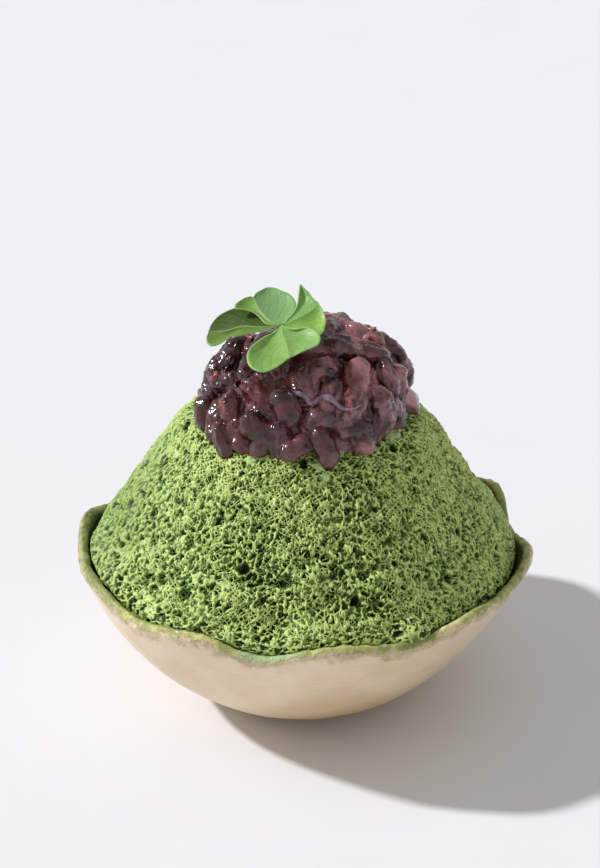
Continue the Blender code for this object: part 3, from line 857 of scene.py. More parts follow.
@dataclass
class Bowl:
    """The pinched stoneware bowl, with the solid's sizes and a finer mesh."""

    foot_radius: float = 15.0
    recess_radius: float = 11.0
    recess_depth: float = 1.0
    rim_radius: float = 65.3
    rim_height: float = 45.5
    end_angle: float = math.radians(51.0)
    lean: float = 1.2
    wall: float = 2.9
    floor: float = 4.6
    rings: int = 44
    steps: int = 600
    throw_size: float = 14.0
    throw_depth: float = 0.5
    lip_swell: float = 0.42
    lip_reach: float = 2.5
    lip_bead: float = 2.4
    lip_relief: float = 0.8
    thrown_from: float = 3.0
    pinches: list[tuple[int, float, float]] = field(default_factory=lambda: [
        (13, 39.8, 64.2), (26, 46.6, 66.0), (41, 43.2, 64.4), (60, 46.2, 65.6), (79, 43.3, 64.6),
        (98, 46.8, 65.8), (117, 43.6, 64.5), (136, 45.8, 65.4), (153, 41.3, 64.4), (173, 46.8, 65.9),
        (191, 43.6, 65.2), (207, 45.4, 65.5), (223, 43.2, 64.5), (244, 46.8, 65.6), (259, 43.0, 64.8),
        (277, 46.8, 65.9), (297, 43.8, 64.6), (317, 46.4, 65.6), (330, 44.4, 65.0), (347, 46.6, 66.6),
    ])

    def pinch_at(self, azimuth: float) -> tuple[float, float]:
        """How far the rim stands over its mean height and out of its mean radius at an azimuth.

        Args:
            azimuth: Degrees round the bowl, from +X.

        Returns:
            The rise and the reach, in millimetres.
        """
        turn = azimuth % 360
        first, last = self.pinches[0], self.pinches[-1]
        ring = [(last[0] - 360, *last[1:]), *self.pinches, (first[0] + 360, *first[1:])]
        for (a0, h0, r0), (a1, h1, r1) in zip(ring, ring[1:]):
            if a0 <= turn <= a1:
                blend = 0.5 - 0.5 * math.cos(math.pi * (turn - a0) / (a1 - a0))
                return h0 + (h1 - h0) * blend - self.rim_height, r0 + (r1 - r0) * blend - self.rim_radius
        return 0.0, 0.0

    def shift_at(self, height: np.ndarray) -> np.ndarray:
        """How far the wall leans to +X at each height: none at the foot and none at the rim."""
        return -self.lean * np.sin(np.pi * np.clip(height / self.rim_height, 0, 1))

    def outer(self, share: float) -> tuple[float, float, float, float]:
        """The unpinched outer wall: radius, height and outward normal at a share of the way up.

        Args:
            share: 0 at the foot and 1 at the rim.

        Returns:
            The radius, the height and the normal's two parts.
        """
        angle = share * self.end_angle
        reach = self.rim_radius - self.foot_radius
        radius = self.foot_radius + reach * math.sin(angle) / math.sin(self.end_angle)
        rise = 1 - math.cos(self.end_angle)
        height = self.rim_height * (1 - math.cos(angle)) / rise
        slope_r = reach * math.cos(angle) / math.sin(self.end_angle)
        slope_z = self.rim_height * math.sin(angle) / rise
        size = math.hypot(slope_r, slope_z)
        return radius, height, slope_z / size, -slope_r / size

    def inner(self, share: float) -> tuple[float, float]:
        """The unpinched inner wall: radius and height at a share of the way up.

        Args:
            share: 0 at the floor and 1 at the rim.

        Returns:
            The radius and the height.
        """
        radius, height, out_r, out_z = self.outer(share)
        thick = self.floor + (self.wall - self.floor) * share
        return radius - out_r * thick, height - out_z * thick

    def room_table(self, levels: np.ndarray) -> np.ndarray:
        """The inner wall's radius at each whole degree and at each level, pinches included.

        Args:
            levels: Heights, in millimetres.

        Returns:
            A row for each degree and a column for each level.
        """
        shares = np.linspace(0, 1, 8)
        wall = np.array([self.inner(share) for share in shares])
        table = []
        for azimuth in range(361):
            up, out = self.pinch_at(azimuth)
            table.append(np.interp(levels, wall[:, 1] + up * shares**4, wall[:, 0] + out * shares**4))
        return np.array(table)

    def profile(self) -> tuple[Profile, dict[str, list[float]]]:
        """The closed profile from the middle of the foot round the lip to the middle of the floor.

        Returns:
            The profile, with the way up and the side of each point as marks.
        """
        points = [(0.0, self.recess_depth), (self.recess_radius - 0.8, self.recess_depth),
                  (self.recess_radius - 0.2, 0.25), (self.recess_radius + 0.3, 0.0)]
        share, inner = [0.0] * 4, [0.0] * 4
        for k in range(self.rings + 1):
            along = (k / self.rings) ** 0.85
            points.append(self.outer(along)[:2])
            share.append(along)
            inner.append(0.0)
        (r0, z0), (r1, z1) = self.outer(1.0)[:2], self.inner(1.0)
        lip_steps = 10
        for k in range(1, lip_steps):
            side = k / lip_steps
            swell = self.lip_swell * self.wall * math.sin(math.pi * side)
            points.append((r0 + (r1 - r0) * side + swell * 0.2, z0 + (z1 - z0) * side + swell))
            share.append(1.0)
            inner.append(0.0)
        for k in range(self.rings, -1, -1):
            along = k / self.rings
            points.append(self.inner(along))
            share.append(along)
            inner.append(1.0)
        points.append((0.0, self.inner(0.0)[1]))
        return points, {"share": share + [0.0], "inner": inner + [1.0]}

    def build(self) -> bpy.types.Object:
        """Turns the bowl, pinches its rim and dresses it.

        Returns:
            The bowl.
        """
        points, marks = self.profile()
        piece = spin_profile("bowl_stoneware", points, self.steps, marks)
        where = places(piece)
        share = marked(piece, "share")
        azimuth = np.degrees(np.arctan2(where[:, 1], where[:, 0])) % 360
        table = np.array([self.pinch_at(a) for a in range(361)])
        up = np.interp(azimuth, range(361), table[:, 0])
        out = np.interp(azimuth, range(361), table[:, 1])
        radius = np.hypot(where[:, 0], where[:, 1])
        scale = (radius + out * share**4) / np.maximum(radius, 1e-6)
        below = (self.rim_height + self.lip_swell * self.wall - where[:, 2]) * 1.1
        where[:, :2] *= scale[:, None]
        where[:, 2] += up * share**4
        where[:, 0] += self.shift_at(where[:, 2])
        move_to(piece, where)
        mark(piece, "below_rim", below)
        self.throw_marks(piece)
        dress(piece, StonewareGlaze().build(), Slot.STONEWARE, "bowl")
        return piece

    def throw_marks(self, piece: bpy.types.Object) -> None:
        """Makes the wall slightly uneven, as a hand-thrown one is, and the glazed lip beady.

        Args:
            piece: The bowl.
        """
        upper = piece.vertex_groups.new(name="upper")
        heights = places(piece)[:, 2]
        upper.add([int(i) for i in np.flatnonzero(heights > self.thrown_from)], 1.0, "REPLACE")
        displace(piece, "throw_marks", self.throw_size, self.throw_depth, "upper")
        below = marked(piece, "below_rim")
        lip = piece.vertex_groups.new(name="lip")
        for i in np.flatnonzero(below < self.lip_reach):
            lip.add([int(i)], float(min(1.0, max(0.0, (self.lip_reach - below[i]) / 2))), "REPLACE")
        displace(piece, "lip_beads", self.lip_bead, self.lip_relief, "lip")
        piece.vertex_groups.clear()


@dataclass
class ShavedIce:
    """The dome of shaved ice: a foam of strands and pores, cut deep in the mesh."""

    bowl: Bowl
    profile: Profile = field(default_factory=lambda: [
        (61.6, 42.0), (61.3, 45.5), (58.6, 51.0), (52.8, 60.0), (45.8, 70.0), (38.8, 80.0),
        (34.8, 85.3), (31.0, 88.2), (24.0, 89.8), (12.0, 90.6), (0.0, 90.8),
    ])
    rows: int = 262
    sectors: int = 4
    sector_steps: int = 350
    under_beans: float = 26.0
    wall_gap: float = 0.35
    lean_height: float = 7.0
    pore: float = 1.95
    pore_depth: float = 2.4
    fine_pore: float = 0.95
    fine_depth: float = 1.0
    pinhole: float = 2.8
    pinhole_depth: float = 2.5
    drips: tuple[Place, ...] = (
        (-14.2, -29.5, 87.0), (4.0, -33.0, 86.0), (5.2, -34.4, 83.4),
    )
    drip_size: float = 2.6
    spill: Place = (29.0, -53.5, 46.5)
    spill_height: float = 2.6
    hole: float = 5.2
    hole_depth: float = 2.4
    pore_slope: float = math.radians(32)
    furrow_slope: float = math.radians(30)
    furrow_depth: float = 1.5
    smooth_spot: Place = (-56.0, -4.0, 62.0)
    beans_middle: Place = (0.9, -2.6, 0.0)
    leaning: tuple[float, float] = (176.0, 318.0)

    def build(self) -> list[bpy.types.Object]:
        """Turns the dome in sectors, each small enough for one piece, and cuts their foam.

        Returns:
            The four quarters.
        """
        curve = np.array(smooth_profile(self.profile, self.rows))
        slope = np.gradient(curve, axis=0)
        out = np.stack([-slope[:, 1], slope[:, 0]], axis=1) * -1
        out /= np.linalg.norm(out, axis=1)[:, None]
        kept = [i for i in range(len(curve)) if curve[i, 0] >= self.under_beans or i % 12 == 0]
        kept = sorted({*kept, len(curve) - 1})
        marks = {"out_r": [out[i, 0] for i in kept], "out_z": [out[i, 1] for i in kept]}
        profile = [tuple(curve[i]) for i in kept]
        tree = self.foam_tree()
        finish = MatchaFoam().build()
        pieces = []
        for k in range(self.sectors):
            step = math.tau / self.sectors
            piece = spin_profile(f"shaved_ice_{k + 1}", profile, self.sector_steps, marks, step * k, step)
            self.fit_to_wall(piece)
            foam = piece.modifiers.new("foam", "NODES")
            foam.node_group = tree
            apply_all(piece)
            close_to_point(piece)
            dress(piece, finish, Slot.ICE, "shaved_ice")
            pieces.append(piece)
        return pieces

    def fit_to_wall(self, piece: bpy.types.Object) -> None:
        """Draws the lowest rows in where the wall leaves less room and, in front, leans them on it.

        Args:
            piece: A quarter of the dome, or a web.
        """
        where = places(piece)
        radius = np.maximum(np.hypot(where[:, 0], where[:, 1]), 1e-6)
        azimuth = np.degrees(np.arctan2(where[:, 1], where[:, 0])) % 360
        step = 0.5
        levels = np.arange(38.0, 50.0, step)
        table = self.bowl.room_table(levels) - self.wall_gap
        rims = np.array([self.bowl.rim_height + self.bowl.pinch_at(a)[0] + 1.0 for a in range(361)])
        degree = np.minimum(azimuth.astype(int), 359)
        row = np.clip(((where[:, 2] - levels[0]) / step).astype(int), 0, len(levels) - 1)
        blend = azimuth - degree
        room = table[degree, row] * (1 - blend) + table[degree + 1, row] * blend
        rise = where[:, 2] - rims[degree]
        start, end = self.leaning
        leaning = np.clip((azimuth - start) / 10, 0, 1) * np.clip((end - azimuth) / 16, 0, 1)
        fill = leaning * np.clip(1 - (rise - 1) / self.lean_height, 0, 1) ** 1.5
        radius_now = radius + np.maximum(0.0, table[degree, -1] - radius) * fill
        low = rise < 0
        radius_now[low] = np.minimum(radius_now, room)[low]
        where[:, :2] *= (radius_now / radius)[:, None]
        move_to(piece, where)

    def foam_tree(self) -> bpy.types.NodeTree:
        """The nodes that cut holes, pores and furrows inwards and then roughen the strands.

        Returns:
            The node tree for a modifier.
        """
        tree, board, start, end = new_shaping("cut_foam")
        place = board.scaled(board.add("GeometryNodeInputPosition").outputs[0], 1 / MM)
        normal = self.outward(board, place)
        melt = self.melted(board, place)
        pressed = self.smoothness(board, place)
        openness = board.minus(1.0, board.calc("MAXIMUM", pressed, melt))
        depth = self.pore_cut(board, place, openness, melt)
        # The pit share drives the painted shade of the pores: on pressed ice the same depth counts deeper, so
        # its pinholes are coloured darker.
        full = board.times(board.ramp(openness, 0.2, 1.0, 0.5, 1.0), self.pore_depth + self.fine_depth)
        pit = board.calc("DIVIDE", depth, full, clamp=True)
        shallow = board.times(self.fade(board, place), self.near_wall(board, place))
        total = board.times(board.plus(depth, self.swell(board, place)), shallow)
        spill = board.ramp(board.distance(place, self.spill), 2.5, 7.5, self.spill_height, 0.0)
        cut = board.scaled(normal, board.times(board.minus(total, spill), -MM))
        crumbs = board.minus(board.noise(place, 1.25, 3.0, 0.8).outputs[0], 0.5)
        rough = board.ramp(openness, 0.3, 1.0, 0.9 * MM, 1.2 * MM)
        reach = board.times(shallow, board.times(rough, board.ramp(melt, 0.2, 0.8, 1.0, 0.25)))
        offset = board.vector("ADD", cut, board.scaled(normal, board.times(crumbs, reach)))
        geometry = start.outputs[0]
        for name, value in (("pit", pit), ("melt", melt), ("pressed", pressed)):
            feeds = {"Geometry": geometry, "Name": name, "Value": value}
            geometry = board.add("GeometryNodeStoreNamedAttribute", feeds).outputs[0]
        carved = board.add("GeometryNodeSetPosition", {"Geometry": geometry, "Offset": offset})
        tree.links.new(carved.outputs[0], end.inputs[0])
        return tree

    def pore_cut(self, board: NodeBoard, place: Socket, openness: Socket, melt: Socket) -> Socket:
        """Depth of the pores, the finer ones, the large holes and the pressed surface's pinholes.

        Args:
            board: The tree's board.
            place: The point, in millimetres.
            openness: 1 on open foam and 0 on smooth ice.
            melt: 1 where it has melted.

        Returns:
            The depth, in millimetres.
        """
        drawn = self.drawn(board, place)
        shifted = board.vector("ADD", drawn, (9.0, 3.0, 5.0))
        pores = self.pits(board, drawn, 1 / self.pore, 0.09, 0.25, 0.25)
        fine = self.pits(board, shifted, 1 / self.fine_pore, 0.08, 0.3, 0.3)
        finer = board.times(board.ramp(openness, 0.0, 1.0, 0.6, 1.0), board.ramp(melt, 0.2, 0.8, 1.0, 0.35))
        sharp = board.ramp(self.smoothness(board, place), 0.05, 0.3)
        sharp = board.times(board.ramp(melt, 0.0, 0.5, 1.0, 0.0), sharp)
        depth = board.times(pores, board.times(openness, self.pore_depth))
        for kind, share, full in ((fine, finer, self.fine_depth),
                                  (self.holes(board, drawn), openness, self.hole_depth),
                                  (self.pinholes(board, place), sharp, self.pinhole_depth)):
            depth = board.plus(depth, board.times(kind, board.times(share, full)))
        return depth

    def along_slant(self, board: NodeBoard, place: Socket, slope: float, share: float) -> Socket:
        """Squeezes a place along a rising slant, which draws a pattern out that way.

        Args:
            board: The tree's board.
            place: The point.
            slope: The slant's angle over the level.
            share: How much it is squeezed.

        Returns:
            The squeezed point.
        """
        slant = (math.cos(slope), 0.0, math.sin(slope))
        run = board.scaled(slant, board.times(board.dot(place, slant), share))
        return board.vector("SUBTRACT", place, run)

    def drawn(self, board: NodeBoard, place: Socket) -> Socket:
        """The place where the pores are read: bent at random and drawn out along a rising slant.

        Args:
            board: The tree's board.
            place: The point.

        Returns:
            The moved point.
        """
        warped = board.vector("ADD", place, board.shiver(place, 0.42, 2.6))
        warped = board.vector("ADD", warped, board.shiver(place, 1.2, 1.3))
        return self.along_slant(board, warped, self.pore_slope, 0.3)

    def outward(self, board: NodeBoard, place: Socket) -> Socket:
        """The bare dome's outward direction, from the attributes that the profile was turned with.

        Args:
            board: The tree's board.
            place: The point.

        Returns:
            The direction.
        """
        out_r, out_z = (
            board.add("GeometryNodeInputNamedAttribute", {"Name": name}, data_type="FLOAT").outputs[0]
            for name in ("out_r", "out_z"))
        level = board.vector("NORMALIZE", board.vector("MULTIPLY", place, LEVEL), (0.0, 0.0, 0.0))
        rise = board.add("ShaderNodeCombineXYZ", {2: out_z}).outputs[0]
        return board.vector("ADD", board.scaled(level, out_r), rise)

    def smoothness(self, board: NodeBoard, place: Socket) -> Socket:
        """Where the ice was pressed smooth: high on the left shoulder, and in loose patches.

        Args:
            board: The tree's board.
            place: The point.

        Returns:
            0 on open foam, up to 1.
        """
        left = board.ramp(board.distance(place, self.smooth_spot), 8.0, 38.0, 0.6, 0.0)
        patches = board.ramp(board.noise(place, 0.1, 2.0).outputs[0], 0.58, 0.8, 0.0, 0.25)
        return board.plus(left, patches, clamp=True)

    def melted(self, board: NodeBoard, place: Socket) -> Socket:
        """Where the ice has melted smooth and pale: the foot of the beans and a few drips below them.

        Args:
            board: The tree's board.
            place: The point.

        Returns:
            0 to 1.
        """
        flat = board.distance(board.vector("MULTIPLY", place, LEVEL), self.beans_middle)
        ragged = board.ramp(board.noise(place, 0.2, 2.0, 0.5).outputs[0], 0.45, 0.7, -3.0, 1.0)
        found = board.ramp(board.minus(flat, ragged), 28.5, 30.5, 1.0, 0.0)
        warped = board.vector("ADD", place, board.shiver(place, 0.4, 2.4))
        for drip in self.drips:
            near = board.ramp(board.distance(warped, drip), self.drip_size * 0.5, self.drip_size, 1.0, 0.0)
            found = board.calc("MAXIMUM", found, near)
        return found

    def swell(self, board: NodeBoard, place: Socket) -> Socket:
        """Broad hollows and slanting furrows of the whole surface, in millimetres of depth.

        Args:
            board: The tree's board.
            place: The point.

        Returns:
            The depth.
        """
        lumps = board.ramp(board.noise(place, 0.075, 2.0).outputs[0], 0.3, 0.7, 0.0, self.furrow_depth)
        slanted = self.along_slant(board, place, self.furrow_slope, 0.8)
        waves = board.ramp(board.noise(slanted, 0.2, 2.0).outputs[0], 0.5, 0.72, 0.0, 1.4)
        low = board.ramp(board.axis(place, 2), 60.0, 76.0, 1.0, 0.25)
        return board.plus(lumps, board.times(waves, low))

    def pits(self, board: NodeBoard, place: Socket, scale: float, strand: float, deep: float,
             least: float) -> Socket:
        """Pores between strands, each of its own depth, from 0 on a strand to 1.

        Args:
            board: The tree's board.
            place: The point.
            scale: Pores for each millimetre.
            strand: Half a strand's width, in cells.
            deep: Where a pore is at its deepest.
            least: The shallowest pore's share.

        Returns:
            0 to 1.
        """
        edge = board.cells(place, scale, "DISTANCE_TO_EDGE").outputs["Distance"]
        own = board.add("ShaderNodeSeparateXYZ", {0: board.cells(place, scale).outputs["Color"]}).outputs[0]
        return board.times(board.ramp(edge, strand, deep), board.ramp(own, 0.0, 1.0, least, 1.0))

    def holes(self, board: NodeBoard, place: Socket) -> Socket:
        """Scattered large holes, from 0 to 1.

        Args:
            board: The tree's board.
            place: The point.

        Returns:
            0 to 1.
        """
        return self.scattered(board, place, self.hole, (0.4, 0.6), (0.16, 0.36), 0.45)

    def pinholes(self, board: NodeBoard, place: Socket) -> Socket:
        """Small dark holes of the pressed surface, drawn out upwards, from 0 to 1.

        Args:
            board: The tree's board.
            place: The point.

        Returns:
            0 to 1.
        """
        warped = board.vector("ADD", place, board.shiver(place, 0.8, 2.2, 3.0))
        squeezed = board.vector("MULTIPLY", warped, (1.0, 1.0, 0.62))
        return self.scattered(board, squeezed, self.pinhole, (0.46, 0.52), (0.13, 0.3), 0.7)

    def scattered(self, board: NodeBoard, place: Socket, size: float, held: tuple[float, float],
                  reach: tuple[float, float], soft: float) -> Socket:
        """Round holes in some of a pattern's cells, each of its own width.

        Args:
            board: The tree's board.
            place: The point.
            size: The cells' size, in millimetres.
            held: The draw up to which a cell has no hole, and from which it has a full one.
            reach: The narrowest and the widest hole's radius, in cells.
            soft: Where a hole's floor ends and its side begins, as a share of its radius.

        Returns:
            0 to 1.
        """
        cells = board.cells(place, 1 / size)
        own = board.add("ShaderNodeSeparateXYZ", {0: cells.outputs["Color"]})
        near = board.calc("DIVIDE", cells.outputs["Distance"], board.ramp(own.outputs[1], 0.0, 1.0, *reach))
        return board.times(board.ramp(near, soft, 1.0, 1.0, 0.0), board.ramp(own.outputs[0], *held))

    def near_wall(self, board: NodeBoard, place: Socket) -> Socket:
        """Less depth in the lowest rows, which lean on the bowl."""
        return board.ramp(board.axis(place, 2), 45.0, 51.0, 0.3, 1.0)

    def fade(self, board: NodeBoard, place: Socket) -> Socket:
        """1 on the open dome, falling to 0 under the beans."""
        flat = board.vector("MULTIPLY", place, LEVEL)
        return board.ramp(board.distance(flat, (0.0, 0.0, 0.0)), 25.0, 30.0)


@dataclass
class StrandWeb:
    """Fine strands that bridge the pores: the borders of a cell pattern wrapped round the dome."""

    ice: ShavedIce
    name: str
    shallow: float
    deep: float
    seed: int
    cells: int = 3600
    thickness: float = 0.85
    thinnest: float = 0.4
    bend: float = 0.16
    hull_share: float = 14.0
    smooth_sink: float = 2.6
    jitter: float = 1.6

    def spread(self) -> tuple[np.ndarray, np.ndarray]:
        """The exposed dome's rows and, for each, the latitude that keeps angles on a unit sphere.

        Returns:
            The rows, as radius and height, and their latitudes.
        """
        curve = np.array(smooth_profile(self.ice.profile, 240))
        curve = curve[(curve[:, 0] >= 28.0) & (curve[:, 1] >= 43.5)]
        steps = np.linalg.norm(np.diff(curve, axis=0), axis=1)
        middle = (curve[1:, 0] + curve[:-1, 0]) / 2
        turn = np.concatenate([[0.0], np.cumsum(steps / middle)])
        turn -= turn[-1] / 2
        return curve, np.pi / 2 - 2 * np.arctan(np.exp(-turn))

    def scatter(self) -> tuple[np.ndarray, np.ndarray]:
        """Loose points spread evenly over the dome: azimuths and latitudes.

        Returns:
            The azimuths and the latitudes, in radians.
        """
        curve, latitude = self.spread()
        draw = np.random.default_rng(self.seed)
        area = np.concatenate([[0.0], np.cumsum(
            np.linalg.norm(np.diff(curve, axis=0), axis=1) * (curve[1:, 0] + curve[:-1, 0]) / 2)])
        share = (np.arange(self.cells) + draw.uniform(-0.4, 1.4, self.cells)) / self.cells
        level = np.interp(np.clip(share, 0, 1) * area[-1], area, latitude)
        azimuth = np.arange(self.cells) * math.radians(GOLDEN_ANGLE) + draw.normal(0, 0.012, self.cells)
        return azimuth, level

    def build(self, finish: bpy.types.Material) -> bpy.types.Object:
        """Wraps the pattern, thickens its borders into strands and dresses them.

        Args:
            finish: The ice's material.

        Returns:
            The web.
        """
        azimuth, level = self.scatter()
        ring = np.cos(level)
        ball = np.stack([ring * np.cos(azimuth), ring * np.sin(azimuth), np.sin(level)], axis=1)
        piece = new_piece(self.name, ball.tolist(), [])
        with editing(piece):
            bpy.ops.mesh.convex_hull()
            bpy.ops.mesh.select_all(action="DESELECT")
        mesh = piece.data
        areas = np.zeros(len(mesh.polygons), np.float32)
        mesh.polygons.foreach_get("area", areas)
        mesh.polygons.foreach_set("select", areas > self.hull_share * np.median(areas))
        with editing(piece, select=False):
            bpy.ops.mesh.select_mode(type="FACE")
            bpy.ops.mesh.delete(type="FACE")
        self.wrap(piece)
        shaping = piece.modifiers.new("cells", "NODES")
        shaping.node_group = self.cell_tree()
        apply_all(piece)
        self.crumple(piece)
        girth = piece.vertex_groups.new(name="girth")
        for i, (x, y, z) in enumerate(places(piece)):
            share = noise.noise(Vector((x, y, z)) * 0.45) + 0.5 * noise.noise(Vector((z, x, y)) * 1.3)
            girth.add([i], min(1.0, max(0.0, 0.45 + 0.9 * share)), "REPLACE")
        strands = piece.modifiers.new("strands", "WIREFRAME")
        strands.thickness = self.thickness * MM
        strands.vertex_group = "girth"
        strands.thickness_vertex_group = self.thinnest
        strands.use_boundary = True
        strands.use_replace = True
        strands.use_even_offset = False
        apply_all(piece)
        piece.vertex_groups.clear()
        bpy.ops.object.shade_smooth()
        self.mark_depth(piece)
        dress(piece, finish, Slot.ICE, "shaved_ice")
        return piece

    def crumple(self, piece: bpy.types.Object) -> None:
        """Gives each border of the pattern a bend in its middle.

        Args:
            piece: The web's pattern.
        """
        with editing(piece, select=False):
            bpy.ops.mesh.select_mode(type="EDGE")
            bpy.ops.mesh.select_all(action="SELECT")
            bpy.ops.mesh.subdivide(number_cuts=1)
        where = places(piece)
        draw = np.random.default_rng(self.seed + 1)
        move_to(piece, where + draw.normal(0, self.bend, where.shape))

    def wrap(self, piece: bpy.types.Object) -> None:
        """Moves the pattern from the unit sphere to the dome.

        Args:
            piece: The pattern on the unit sphere.
        """
        curve, latitude = self.spread()
        ball = places(piece) * MM
        level = np.arcsin(np.clip(ball[:, 2] / np.linalg.norm(ball, axis=1), -1, 1))
        azimuth = np.arctan2(ball[:, 1], ball[:, 0])
        radius = np.interp(level, latitude, curve[:, 0])
        height = np.interp(level, latitude, curve[:, 1])
        move_to(piece, np.stack([radius * np.cos(azimuth), radius * np.sin(azimuth), height], axis=1))
        self.ice.fit_to_wall(piece)

    def cell_tree(self) -> bpy.types.NodeTree:
        """The nodes that turn the pattern into cells and sink their borders by uneven depths.

        Returns:
            The node tree for a modifier.
        """
        tree, board, start, end = new_shaping("sink_" + self.name)
        cells = board.add("GeometryNodeDualMesh", {0: start.outputs[0]})
        place = board.scaled(board.add("GeometryNodeInputPosition").outputs[0], 1 / MM)
        normal = board.add("GeometryNodeInputNormal").outputs[0]
        uneven = board.noise(place, 0.55, 2.0, 0.6)
        depth = board.ramp(uneven.outputs[0], 0.32, 0.68, self.shallow, self.deep)
        smooth = board.calc("MAXIMUM", self.ice.smoothness(board, place), self.ice.melted(board, place))
        depth = board.plus(depth, board.times(smooth, self.smooth_sink))
        depth = board.plus(depth, self.ice.swell(board, place))
        hole = self.ice.holes(board, self.ice.drawn(board, place))
        depth = board.plus(depth, board.times(hole, self.ice.hole_depth))
        jitter = board.vector("SUBTRACT", uneven.outputs["Color"], HALF)
        inwards = board.scaled(normal, board.times(depth, -MM))
        push = board.vector("ADD", board.scaled(jitter, self.jitter * MM), inwards)
        sunk = board.add("GeometryNodeSetPosition", {"Geometry": cells.outputs[0], "Offset": push})
        tree.links.new(sunk.outputs[0], end.inputs[0])
        return tree

    def mark_depth(self, piece: bpy.types.Object) -> None:
        """Stores how deep each strand lies, for its painted shade: deeper strands are coloured darker.

        Args:
            piece: The web.
        """
        curve = np.array(smooth_profile(self.ice.profile, 240))[::-1]
        where = places(piece)
        bare = np.interp(-where[:, 2], -curve[:, 1], curve[:, 0])
        depth = (bare - np.hypot(where[:, 0], where[:, 1])) * 0.8
        # Painted shade of the deeper strands, through the pit attribute.
        mark(piece, "pit", np.clip((depth - 0.8) / 5.0, 0, 1))
        mark(piece, "melt", np.zeros(len(where)))
        mark(piece, "pressed", np.zeros(len(where)))


@dataclass
class BeanSite:
    """Where one bean lies."""

    centre: Vector
    along: Vector
    side: Vector
    size: float
    stretch: float

    def matrix(self) -> Matrix:
        """The bean's axes and place, in millimetres."""
        turn = Matrix((self.along, self.side, self.along.cross(self.side))).transposed()
        return Matrix.Translation(self.centre) @ turn.to_4x4()


